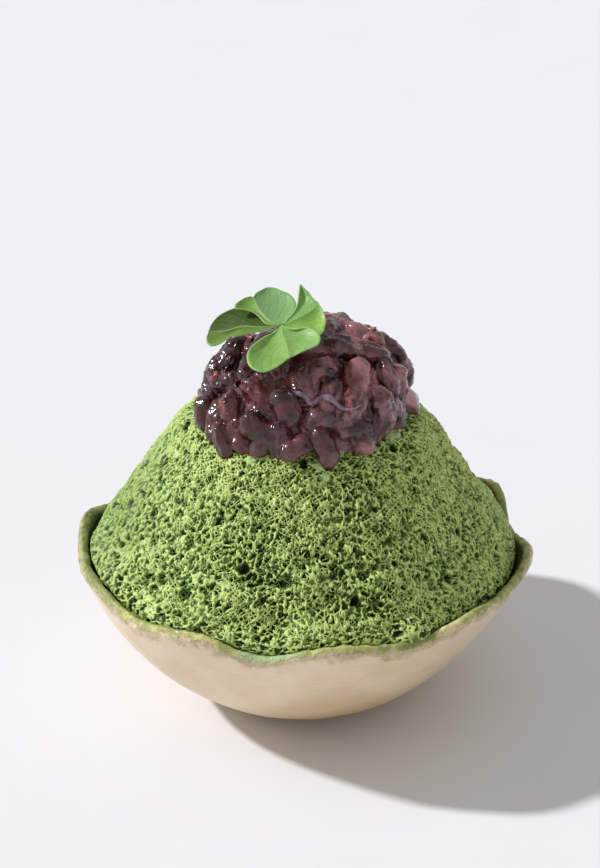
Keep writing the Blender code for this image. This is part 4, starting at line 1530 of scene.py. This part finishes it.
@dataclass
class BeanHeap:
    """Sweet red beans over a core of bean paste."""

    ice: ShavedIce
    centre: Vector = field(default_factory=lambda: Vector((0.9, -2.6, 84.0)))
    core_radius: float = 27.0
    core_height: float = 26.4
    core_lean: float = 1.6
    length: float = 12.4
    width: float = 7.1
    crown: int = 50
    crown_foot: float = 0.8
    skirt: int = 19
    skirt_centre: Vector = field(default_factory=lambda: Vector((-0.4, -2.6)))
    skirt_reach: tuple[float, float] = (25.8, 28.8)
    skirt_rise: float = 2.3
    seed: int = 27
    extra: list[Place] = field(default_factory=lambda: [
        (11.6, 5.0, 109.8), (19.0, 3.5, 106.0), (6.5, 6.0, 111.0), (-25.6, -4.0, 96.0), (-22.6, -3.0, 102.4),
        (-27.6, -12.5, 91.8), (-22.0, -23.6, 88.6),
    ])
    bare_share: float = 0.42
    sunk_share: float = 0.86
    kind_weights: tuple[int, int, int] = (4, 4, 3)
    bean_puckers: Profile = field(default_factory=lambda: [(2.4, 0.6), (1.0, 0.3)])
    paste_puckers: Profile = field(default_factory=lambda: [(3.4, 1.3), (1.3, 0.5)])
    scrap_puckers: Profile = field(default_factory=lambda: [(1.4, 0.7)])
    scraps: int = 38
    trail: list[tuple[float, float]] = field(default_factory=lambda: [
        (-4.7, 10.3), (-2.4, 10.9), (0.2, 10.4), (2.0, 8.1), (4.2, 9.9), (7.1, 9.3), (9.8, 6.9), (13.1, 6.5),
        (15.8, 8.4),
    ])
    trail_width: float = 0.75
    trail_level: float = 79.1
    eye_height: float = 4.0
    skin_cell: float = 0.4
    scrap_thickness: float = 0.22

    def core_point(self, azimuth: float, polar: float, stand_off: float = 0.0) -> Vector:
        """A point on the core: polar 0 is its top and 1 its foot.

        Args:
            azimuth: Degrees from +X.
            polar: 0 at the top and 1 at the foot.
            stand_off: How far out of the core, in millimetres.

        Returns:
            The point, in millimetres.
        """
        turn, tilt = math.radians(azimuth), polar * math.pi / 2
        lump = 1 + 0.05 * math.sin(2 * turn + 0.7) + 0.035 * math.sin(5 * turn)
        across = (self.core_radius * lump + stand_off) * math.sin(tilt) ** 0.86
        up = (self.core_height + stand_off) * math.cos(tilt) ** 0.9
        lean = self.core_lean * math.cos(turn) * math.sin(math.pi * polar)
        return self.centre + Vector((across * math.cos(turn), across * math.sin(turn), up + lean))

    def dome_height(self, radius: float) -> float:
        """Height of the ice's bare form at a radius."""
        dome = smooth_profile(self.ice.profile, 60)[::-1]
        return float(np.interp(radius, [r for r, _ in dome], [z for _, z in dome]))

    def outward(self, centre: Vector) -> Vector:
        """The way out of the heap at a place."""
        return (centre - self.centre - Vector((0, 0, self.eye_height))).normalized()

    def site(self, centre: Vector, outward: Vector, draw: random.Random) -> BeanSite:
        """A bean's place, lying at random across the outward direction.

        Args:
            centre: The bean's middle.
            outward: The way out of the heap.
            draw: The seeded draw.

        Returns:
            The bean's site.
        """
        heading = Vector((draw.gauss(0, 1), draw.gauss(0, 1), draw.gauss(0, 0.8)))
        along = heading.cross(outward).normalized()
        along = (along + outward * draw.uniform(-0.35, 0.35)).normalized()
        side = outward.cross(along).normalized()
        return BeanSite(centre, along, side, draw.uniform(0.84, 1.12), draw.uniform(0.88, 1.12))

    def sites(self) -> list[BeanSite]:
        """The solid's beans, a spiral over the core and a skirt on the dome, and the extra ones.

        Returns:
            A site for each bean.
        """
        draw = random.Random(self.seed)
        found = []
        for i in range(self.crown):
            share = (i + 0.5) / self.crown * self.crown_foot
            polar = math.acos(1 - share) / (math.pi / 2)
            azimuth = i * GOLDEN_ANGLE + draw.uniform(-9, 9)
            centre = self.core_point(azimuth, polar, draw.uniform(-0.9, 1.5))
            found.append(self.site(centre, self.outward(centre), draw))
        for i in range(self.skirt):
            azimuth = math.radians(360 * i / self.skirt + draw.uniform(-5, 5))
            reach = draw.uniform(*self.skirt_reach)
            x = self.skirt_centre.x + reach * math.cos(azimuth)
            y = self.skirt_centre.y + reach * math.sin(azimuth)
            centre = Vector((x, y, self.dome_height(math.hypot(x, y)) + self.skirt_rise))
            outward = Vector((math.cos(azimuth), math.sin(azimuth), 0.75)).normalized()
            found.append(self.site(centre, outward, draw))
        for place in self.extra:
            centre = Vector(place)
            found.append(self.site(centre, self.outward(centre), draw))
        return found

    def model_bean(self, kind: BeanKind) -> bpy.types.Object:
        """Models one bean of unit half length along X and unit half width across.

        Args:
            kind: How the bean has kept its skin.

        Returns:
            The model, to be copied and then removed.
        """
        bpy.ops.object.select_all(action="DESELECT")
        bpy.ops.mesh.primitive_uv_sphere_add(segments=40, ring_count=28, radius=1.0)
        bean = bpy.context.object
        bean.name = f"bean_model_{kind.value}"
        with editing(bean):
            bpy.ops.transform.rotate(value=math.pi / 2, orient_axis="Y", center_override=(0, 0, 0))
        crease = {BeanKind.PLUMP: 0.07, BeanKind.WRINKLED: 0.24, BeanKind.SPLIT: 0.13}[kind]
        shift = {BeanKind.PLUMP: 0.0, BeanKind.WRINKLED: 5.0, BeanKind.SPLIT: 9.0}[kind]
        for vertex in bean.data.vertices:
            x, y, z = vertex.co
            ring = math.hypot(y, z)
            girth = math.sqrt(max(0.0, 1 - abs(x) ** 3))
            if ring > 1e-6:
                y, z = y / ring * girth, z / ring * girth
            dent = noise.noise(Vector((x * 1.3 + shift, y * 1.1, z * 1.1)))
            fold = abs(noise.noise(Vector((x * 1.6, y * 2.6 + shift, z * 2.6))))
            swell = 1 + 0.2 * dent - crease * max(0.0, 1 - fold * 5.0)
            if kind is BeanKind.SPLIT and z > 0:
                swell -= 0.36 * math.exp(-(((y - 0.2) / 0.14) ** 2)) * (1 - x * x)
            vertex.co = Vector((x * (1 + 0.06 * dent), y * swell, z * swell))
        return bean

    def place_bean(self, model: bpy.types.Object, site: BeanSite, share: float,
                   tint: float) -> bpy.types.Object:
        """Copies a bean to its site, bent, at a share of its full size.

        Args:
            model: The model.
            site: Where the bean lies.
            share: Its share of full size.
            tint: Its tint, 0 to 1.

        Returns:
            The bean.
        """
        bean = model.copy()
        bean.data = model.data.copy()
        bpy.context.scene.collection.objects.link(bean)
        half_length = self.length * site.stretch * site.size / 2 * share
        half_width = self.width * site.size / 2 * share
        matrix = site.matrix()
        for vertex in bean.data.vertices:
            x, y, z = vertex.co
            bend = 0.9 * site.size * (x * x - 0.5)
            vertex.co = (matrix @ Vector((x * half_length, y * half_width + bend, z * half_width * 0.9))) * MM
        mark(bean, "tint", np.full(len(bean.data.vertices), tint))
        return bean

    def build(self) -> list[bpy.types.Object]:
        """Lays the beans, wraps most of them in syrup, adds torn skins and dresses all.

        Returns:
            The paste, the beans, the scraps and the trail.
        """
        draw = random.Random(self.seed + 1)
        models = {kind: self.model_bean(kind) for kind in BeanKind}
        shown: dict[BeanKind, list[bpy.types.Object]] = {kind: [] for kind in BeanKind}
        lumps, tints = [], []
        for site in self.sites():
            kind = draw.choices(list(BeanKind), weights=self.kind_weights)[0]
            tint = draw.random()
            bare = draw.random() < self.bare_share
            lumps.append(self.place_bean(models[kind], site, self.sunk_share if bare else 1.0, tint))
            tints.append((site.centre, tint))
            if bare:
                shown[kind].append(self.place_bean(models[kind], site, 1.0, tint))
        for model in models.values():
            bpy.data.objects.remove(model, do_unlink=True)
        finish = SweetBean().build()
        pieces = [self.wrap_in_syrup(lumps, tints)]
        for kind, beans in shown.items():
            piece = join(beans, f"red_beans_{kind.value}")
            pucker(piece, self.bean_puckers)
            pieces.append(piece)
        pieces.append(self.torn_skins(pieces[0], draw))
        pieces.append(self.reflection_trail(pieces[0]))
        for piece in pieces:
            activate(piece)
            bpy.ops.object.shade_smooth()
            dress(piece, finish, Slot.BEANS, "red_beans")
        return pieces

    def wrap_in_syrup(self, lumps: list[bpy.types.Object],
                      tints: list[tuple[Vector, float]]) -> bpy.types.Object:
        """One skin of paste and syrup over the core and the lumps, softened in the hollows.

        Args:
            lumps: The beans to be covered.
            tints: Each bean's place and tint.

        Returns:
            The paste.
        """
        bpy.ops.object.select_all(action="DESELECT")
        bpy.ops.mesh.primitive_uv_sphere_add(segments=64, ring_count=40, radius=1.0)
        core = bpy.context.object
        for vertex in core.data.vertices:
            x, y, z = vertex.co
            azimuth = math.degrees(math.atan2(y, x))
            polar = math.acos(min(1.0, max(0.0, z))) / (math.pi / 2)
            point = self.core_point(azimuth, polar, 0.3)
            if z < 0:
                middle = Vector((self.centre.x, self.centre.y, point.z))
                point = middle.lerp(point, math.hypot(x, y)) + Vector((0, 0, z * 6.0))
            vertex.co = point * MM
        paste = join([core, *lumps], "bean_paste")
        skin = paste.modifiers.new("skin", "REMESH")
        skin.mode = "VOXEL"
        skin.voxel_size = self.skin_cell * MM
        settle = paste.modifiers.new("settle", "SMOOTH")
        settle.factor = 0.6
        settle.iterations = 8
        apply_all(paste)
        pucker(paste, self.paste_puckers)
        finder = KDTree(len(tints))
        for i, (centre, _) in enumerate(tints):
            finder.insert(centre, i)
        finder.balance()
        mark(paste, "tint", np.array([tints[finder.find(Vector(at))[1]][1] for at in places(paste)]))
        return paste

    def torn_skins(self, paste: bpy.types.Object, draw: random.Random) -> bpy.types.Object:
        """Curled scraps of torn bean skin, half sunk in the paste.

        Args:
            paste: The paste that they lie on.
            draw: The seeded draw.

        Returns:
            The scraps.
        """
        scraps = []
        for i in range(self.scraps):
            azimuth = i * GOLDEN_ANGLE + draw.uniform(-12, 12)
            aim = self.core_point(azimuth, draw.uniform(0.3, 0.72)) - self.centre
            hit, at, normal, _ = paste.ray_cast((self.centre + aim * 2.2) * MM, -aim.normalized())
            if not hit:
                continue
            bpy.ops.object.select_all(action="DESELECT")
            bpy.ops.mesh.primitive_grid_add(x_subdivisions=10, y_subdivisions=8, size=2)
            scrap = bpy.context.object
            heading = Vector((draw.gauss(0, 1), draw.gauss(0, 1), draw.gauss(0, 1)))
            tangent = normal.cross(heading).normalized()
            turn = Matrix((tangent, normal.cross(tangent), normal)).transposed()
            length, width, curl = draw.uniform(1.2, 2.8), draw.uniform(0.6, 1.2), draw.uniform(0.8, 1.6)
            for vertex in scrap.data.vertices:
                x, y, _ = vertex.co
                wave = noise.noise(Vector((x * 1.7 + i, y * 1.7, 0.0)))
                across = y * (1 - 0.55 * x * x) * curl
                point = Vector((x * length, width * math.sin(across), width * (math.cos(across) - 0.75)))
                vertex.co = at + turn @ (point + Vector((0, 0.5 * wave, 0.6 * wave))) * MM
            mark(scrap, "tint", np.full(len(scrap.data.vertices), draw.choice((0.4, 1.6, 2.0))))
            scraps.append(scrap)
        piece = join(scraps, "bean_torn_skins")
        pucker(piece, self.scrap_puckers)
        thick = piece.modifiers.new("thickness", "SOLIDIFY")
        thick.thickness = self.scrap_thickness * MM
        thick.offset = 0.0
        apply_all(piece)
        return piece

    def reflection_trail(self, paste: bpy.types.Object) -> bpy.types.Object:
        """A thin pale ribbon across the front, a painted reflection on the syrup, laid on the paste along the
        photograph's line of sight.

        Args:
            paste: The paste that it lies on.

        Returns:
            The trail.
        """
        away = Vector((0.0, math.cos(SIGHT), -math.sin(SIGHT)))
        up = Vector((0.0, math.sin(SIGHT), math.cos(SIGHT)))
        path = smooth_profile(self.trail, 60)
        bpy.ops.object.select_all(action="DESELECT")
        bpy.ops.mesh.primitive_cylinder_add(vertices=14, radius=1.0, depth=1.0, end_fill_type="NOTHING")
        piece = bpy.context.object
        piece.name = "bean_syrup_trail"
        with editing(piece):
            bpy.ops.mesh.subdivide(number_cuts=len(path) - 2)
        struck = []
        for x, height in path:
            start = Vector((x, 0, self.trail_level)) + up * height - away * 90
            hit, at, normal, _ = paste.ray_cast(start * MM, away)
            struck.append((at if hit else struck[-1][0], normal if hit else struck[-1][1]))
        spine = []
        for i in range(len(struck)):
            near = struck[max(0, i - 3):i + 4]
            middle = sum((point for point, _ in near), Vector()) / len(near)
            normal = sum((way for _, way in near), Vector()).normalized()
            spine.append((middle + (normal * 0.3 - away * 0.9) * MM, normal))
        for vertex in piece.data.vertices:
            x, y, z = vertex.co
            at = min(len(path) - 1, max(0, round((z + 0.5) * (len(path) - 1))))
            point, normal = spine[at]
            ahead = (spine[min(at + 1, len(path) - 1)][0] - spine[max(at - 1, 0)][0]).normalized()
            side = normal.cross(ahead).normalized()
            share = at / (len(path) - 1)
            width = self.trail_width * math.sqrt(max(0.0, math.sin(math.pi * share))) * (1.7 - 1.2 * share)
            width *= 1 + 0.9 * noise.noise(Vector((share * 9, 0.0, 3.0)))
            vertex.co = point + (side * x * width + normal * y * width * 0.5) * MM
        with editing(piece):
            bpy.ops.mesh.remove_doubles(threshold=0.001 * MM)
            bpy.ops.mesh.normals_make_consistent(inside=False)
        # Tint 3: the pale violet-grey of a painted reflection.
        mark(piece, "tint", np.full(len(piece.data.vertices), 3.0))
        return piece


@dataclass
class Leaflet:
    """One leaflet as seen in the photograph, in millimetres to the right of the hub and up from it.

    Each edge runs from the hub round its half to the notch, where the midrib ends as well. A tilt of -2
    lays a leaflet level and one of 0.5 stands it upright. A fold lifts the halves towards the viewer.
    """

    midrib: Profile
    edges: tuple[Profile, Profile]
    tilt: float
    folds: tuple[float, float]
    # Painted shade and painted sheen for each half.
    shades: tuple[float, float] = (0.0, 0.0)
    sheens: tuple[float, float] = (0.0, 0.0)


LEFT_LEAFLET = Leaflet(
    [(0.0, 0.0), (-5.4, -0.7), (-10.8, -0.5), (-15.1, -1.7), (-19.8, -2.1)],
    ([(0.0, 0.2), (-2.2, 0.6), (-4.0, 1.4), (-5.9, 2.8), (-7.6, 4.0), (-9.5, 4.8), (-11.6, 5.0),
      (-13.5, 4.7), (-15.4, 3.9), (-17.3, 2.7), (-18.6, 1.2), (-19.5, -0.5), (-19.8, -2.1)],
     [(0.0, -0.2), (-3.5, -1.0), (-6.2, -1.8), (-8.9, -2.4), (-11.6, -3.0), (-14.0, -3.4), (-15.5, -4.5),
      (-17.0, -5.5), (-18.8, -5.9), (-19.9, -5.3), (-20.3, -4.0), (-20.2, -2.9), (-19.8, -2.1)]),
    -0.9, (-0.35, 0.25), (1.0, 0.55), (0.0, 0.0),
)
TOP_LEAFLET = Leaflet(
    [(0.0, 0.0), (-3.2, 0.8), (-5.7, 3.2), (-7.0, 5.4), (-8.0, 7.8)],
    ([(0.0, 0.0), (-1.9, 0.0), (-3.8, 0.0), (-5.1, 0.8), (-6.2, 2.2), (-7.8, 3.5), (-10.0, 4.3),
      (-12.7, 4.6), (-12.8, 5.8), (-11.6, 6.9), (-10.3, 7.7), (-8.9, 8.1), (-8.0, 7.8)],
     [(0.0, 0.0), (0.9, 1.3), (1.9, 2.4), (3.0, 3.8), (3.6, 5.4), (3.5, 6.8), (2.7, 8.1), (1.4, 9.2),
      (-0.5, 10.0), (-1.9, 10.7), (-3.2, 10.9), (-4.6, 10.8), (-5.9, 10.1), (-7.3, 9.2), (-8.0, 7.8)]),
    -0.9, (0.25, -0.1), (0.3, 0.0), (0.1, 0.85),
)
RIGHT_LEAFLET = Leaflet(
    [(0.0, 0.0), (1.9, 0.8), (4.6, 2.3), (6.8, 3.5), (8.4, 4.6), (9.7, 6.1)],
    ([(0.0, 0.0), (0.9, 1.1), (1.9, 2.4), (2.7, 3.2), (3.5, 4.6), (4.1, 6.2), (4.3, 7.8), (4.5, 9.5),
      (4.6, 10.8), (4.9, 11.5), (5.7, 10.5), (6.8, 9.5), (7.8, 8.1), (8.9, 7.0), (9.7, 6.1)],
     [(0.0, 0.0), (1.1, -0.5), (3.2, -1.5), (5.4, -1.6), (7.6, -1.8), (8.9, -2.3), (10.3, -2.6),
      (10.9, -1.9), (11.3, -0.8), (11.7, 0.8), (11.6, 1.9), (11.2, 3.5), (10.5, 4.9), (9.7, 6.1)]),
    -0.7, (0.12, 0.1), (0.0, 0.0), (0.6, 0.1),
)
FRONT_LEAFLET = Leaflet(
    [(0.0, 0.0), (-0.2, -2.2), (0.6, -4.7), (1.3, -7.0), (1.9, -9.2)],
    ([(0.0, 0.0), (0.8, -0.4), (2.4, -1.1), (3.8, -1.2), (5.4, -0.9), (7.0, -0.9), (8.4, -1.5),
      (9.5, -2.3), (10.0, -3.2), (10.1, -4.3), (9.5, -5.5), (8.4, -6.2), (6.2, -7.0), (4.1, -8.1),
      (1.9, -9.2)],
     [(0.0, 0.0), (-1.1, -0.8), (-2.7, -2.4), (-4.9, -3.5), (-7.0, -5.1), (-8.4, -6.5), (-9.2, -8.1),
      (-9.2, -9.5), (-8.9, -10.8), (-8.1, -11.9), (-6.8, -12.7), (-4.9, -13.1), (-3.5, -12.7), (-1.9, -11.9),
      (-0.3, -10.8), (1.9, -9.2)]),
    -1.0, (0.25, 0.15), (0.0, 0.05), (0.45, 0.25),
)


@dataclass
class Clover:
    """The four-leaf clover on its stem."""

    hub: Vector = field(default_factory=lambda: Vector((-5.9, -12.0, 118.0)))
    stem_end: Vector = field(default_factory=lambda: Vector((-3.6, -7.5, 105.8)))
    stem_radius: float = 0.85
    thickness: float = 0.4
    columns: int = 14
    steps: int = 60
    wave: float = 0.3
    cup: float = 0.9
    leaflets: tuple[Leaflet, ...] = (LEFT_LEAFLET, TOP_LEAFLET, RIGHT_LEAFLET, FRONT_LEAFLET)

    def leaf_point(self, leaf: Leaflet, rib: tuple[float, float], rim: tuple[float, float], across: float,
                   row: float) -> Vector:
        """A point on a leaflet's middle sheet.

        Args:
            leaf: The leaflet.
            rib: The midrib's point of this row, to the right of the hub and up from it.
            rim: The edge's point of this row.
            across: From -1 at one edge over 0 at the midrib to 1 at the other.
            row: Way along the leaflet, 0 to 1.

        Returns:
            The point, in millimetres.
        """
        spread = abs(across)
        reach = math.hypot(rim[0] - rib[0], rim[1] - rib[1])
        right = rib[0] + (rim[0] - rib[0]) * spread
        up = rib[1] + (rim[1] - rib[1]) * spread
        fold = leaf.folds[0 if across > 0 else 1] * reach * spread
        cup = self.cup * reach / 5 * 4 * spread * (spread - 1)
        wave = self.wave * spread * math.sin(9.0 * row + 2.0 * across)
        toward = leaf.tilt * up + fold + cup + wave
        return self.hub + Vector((
            right,
            up * math.sin(SIGHT) - toward * math.cos(SIGHT),
            up * math.cos(SIGHT) + toward * math.sin(SIGHT),
        ))

    def build_leaf(self, number: int, leaf: Leaflet) -> bpy.types.Object:
        """Shapes a grid into one leaflet and gives it its thickness.

        Args:
            number: The leaflet's number.
            leaf: Its outline and folds.

        Returns:
            The leaflet.
        """
        bpy.ops.object.select_all(action="DESELECT")
        bpy.ops.mesh.primitive_grid_add(x_subdivisions=self.steps, y_subdivisions=2 * self.columns, size=2)
        piece = bpy.context.object
        piece.name = f"clover_leaflet_{number}"
        layer = piece.data.uv_layers.active or piece.data.uv_layers.new()
        layer.name = "leaf"
        for loop in piece.data.loops:
            x, y, _ = piece.data.vertices[loop.vertex_index].co
            layer.data[loop.index].uv = ((y + 1) / 2, (x + 1) / 2)
        rib = smooth_profile(leaf.midrib, self.steps)
        rims = [smooth_profile(edge, self.steps) for edge in leaf.edges]
        sides = [vertex.co.y for vertex in piece.data.vertices]
        for vertex in piece.data.vertices:
            x, y, _ = vertex.co
            k = round((x + 1) / 2 * self.steps)
            vertex.co = self.leaf_point(leaf, rib[k], rims[y <= 0][k], y, k / self.steps) * MM
        mark(piece, "shade", np.array([leaf.shades[0 if y > 0 else 1] for y in sides]))
        mark(piece, "sheen", np.array([leaf.sheens[0 if y > 0 else 1] for y in sides]))
        thick = piece.modifiers.new("thickness", "SOLIDIFY")
        thick.thickness = self.thickness * MM
        thick.offset = 0.0
        apply_all(piece)
        with editing(piece):
            bpy.ops.mesh.normals_make_consistent(inside=False)
        bpy.ops.object.shade_smooth()
        return piece

    def build_stem(self) -> bpy.types.Object:
        """The stem, a straight rod that is slightly thinner in the middle.

        Returns:
            The stem.
        """
        axis = self.stem_end - self.hub
        bpy.ops.object.select_all(action="DESELECT")
        bpy.ops.mesh.primitive_cylinder_add(vertices=20, radius=1.0, depth=1.0)
        piece = bpy.context.object
        piece.name = "clover_stem"
        with editing(piece):
            bpy.ops.mesh.subdivide(number_cuts=6)
        turn = axis.to_track_quat("Z", "Y").to_matrix()
        for vertex in piece.data.vertices:
            x, y, z = vertex.co
            share = z + 0.5
            waist = self.stem_radius * (1 - 0.22 * math.sin(math.pi * share))
            vertex.co = (self.hub + axis * share + turn @ Vector((x * waist, y * waist, 0))) * MM
        bpy.ops.object.shade_smooth()
        return piece

    def build(self) -> list[bpy.types.Object]:
        """Makes the leaflets and the stem.

        Returns:
            The leaflets and the stem.
        """
        finish = CloverLeaf().build()
        pieces = [self.build_leaf(i + 1, leaf) for i, leaf in enumerate(self.leaflets)]
        pieces.append(self.build_stem())
        for piece in pieces:
            dress(piece, finish, Slot.CLOVER, "clover")
        return pieces


@dataclass(frozen=True)
class Studio:
    """A pale floor, soft light from the left and the camera of the photograph."""

    lens: float = 85.0
    aim: Place = (-0.00116, 0.0, 0.0791)
    elevation: float = SIGHT
    distance: float = 0.5809
    key_azimuth: float = math.radians(174.0)
    key_elevation: float = math.radians(40.5)
    key_spread: float = math.radians(3.6)
    key_strength: float = 3.3
    key_colour: tuple[float, float, float] = (0.95, 0.96, 1.0)
    sky_level: Colour = paint(246, 244, 242)
    sky_top: Colour = paint(206, 207, 208)
    sky_strength: float = 0.72
    floor: Colour = paint(228, 228, 230)
    floor_cloud: Colour = paint(220, 222, 226)

    def build(self) -> None:
        """Sets up the camera, the floor and the light."""
        self.add_camera()
        self.add_floor()
        self.add_light()
        bpy.context.scene.view_settings.view_transform = "Standard"

    def add_camera(self) -> None:
        """The camera, looking along +Y and down at the bingsu."""
        camera = bpy.data.cameras.new("camera")
        camera.lens = self.lens
        camera.sensor_width = 36.0
        camera.clip_start = 0.01
        holder = bpy.data.objects.new("camera", camera)
        bpy.context.scene.collection.objects.link(holder)
        back = Vector((0, -math.cos(self.elevation), math.sin(self.elevation)))
        holder.location = Vector(self.aim) + back * self.distance
        holder.rotation_euler = (-back).to_track_quat("-Z", "Y").to_euler()
        bpy.context.scene.camera = holder

    def add_floor(self) -> None:
        """A wide, level floor in a pale tone with a faint, cloudy change."""
        bpy.ops.object.select_all(action="DESELECT")
        bpy.ops.mesh.primitive_grid_add(x_subdivisions=8, y_subdivisions=8, size=12)
        floor = bpy.context.object
        floor.name = "floor"
        material, board, shader = new_material("pale_table")
        place = object_place(board)
        grain = board.noise(place, 0.02, 3.0).outputs[0]
        colour = board.mix(board.ramp(grain, 0.3, 0.7, 0.0, 0.25), self.floor, self.floor_cloud)
        board.tree.links.new(colour, shader.inputs["Base Color"])
        shader.inputs["Roughness"].default_value = 0.7
        floor.data.materials.append(material)

    def add_light(self) -> None:
        """Even, fairly hard light from high on the left and a pale sky."""
        lamp = bpy.data.lights.new("key", "SUN")
        lamp.angle = self.key_spread
        lamp.energy = self.key_strength
        lamp.color = self.key_colour
        holder = bpy.data.objects.new("key", lamp)
        bpy.context.scene.collection.objects.link(holder)
        level = math.cos(self.key_elevation)
        way = Vector((math.cos(self.key_azimuth) * level, math.sin(self.key_azimuth) * level,
                      math.sin(self.key_elevation)))
        holder.rotation_euler = way.to_track_quat("Z", "Y").to_euler()
        world = bpy.data.worlds.new("sky")
        world.use_nodes = True
        board = NodeBoard(world.node_tree)
        way_up = board.add("ShaderNodeSeparateXYZ", {0: board.add("ShaderNodeTexCoord").outputs["Generated"]})
        sky = board.mix(board.ramp(way_up.outputs[2], 0.0, 0.9), self.sky_level, self.sky_top)
        background = world.node_tree.nodes["Background"]
        world.node_tree.links.new(sky, background.inputs[0])
        background.inputs[1].default_value = self.sky_strength
        bpy.context.scene.world = world


def main() -> None:
    """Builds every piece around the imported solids."""
    logging.basicConfig(level=logging.INFO, format="%(relativeCreated)d ms, %(name)s: %(message)s")
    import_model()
    Studio().build()
    bowl = Bowl()
    bowl.build()
    ice = ShavedIce(bowl)
    finish = ice.build()[0].data.materials[0]
    StrandWeb(ice, "ice_strands_upper", shallow=0.0, deep=1.0, seed=5, thickness=0.9).build(finish)
    StrandWeb(ice, "ice_strands_middle", shallow=0.6, deep=1.7, seed=8).build(finish)
    StrandWeb(ice, "ice_strands_lower", shallow=1.2, deep=2.4, seed=9, thinnest=0.45).build(finish)
    BeanHeap(ice).build()
    Clover().build()


if __name__ == "__main__":
    main()
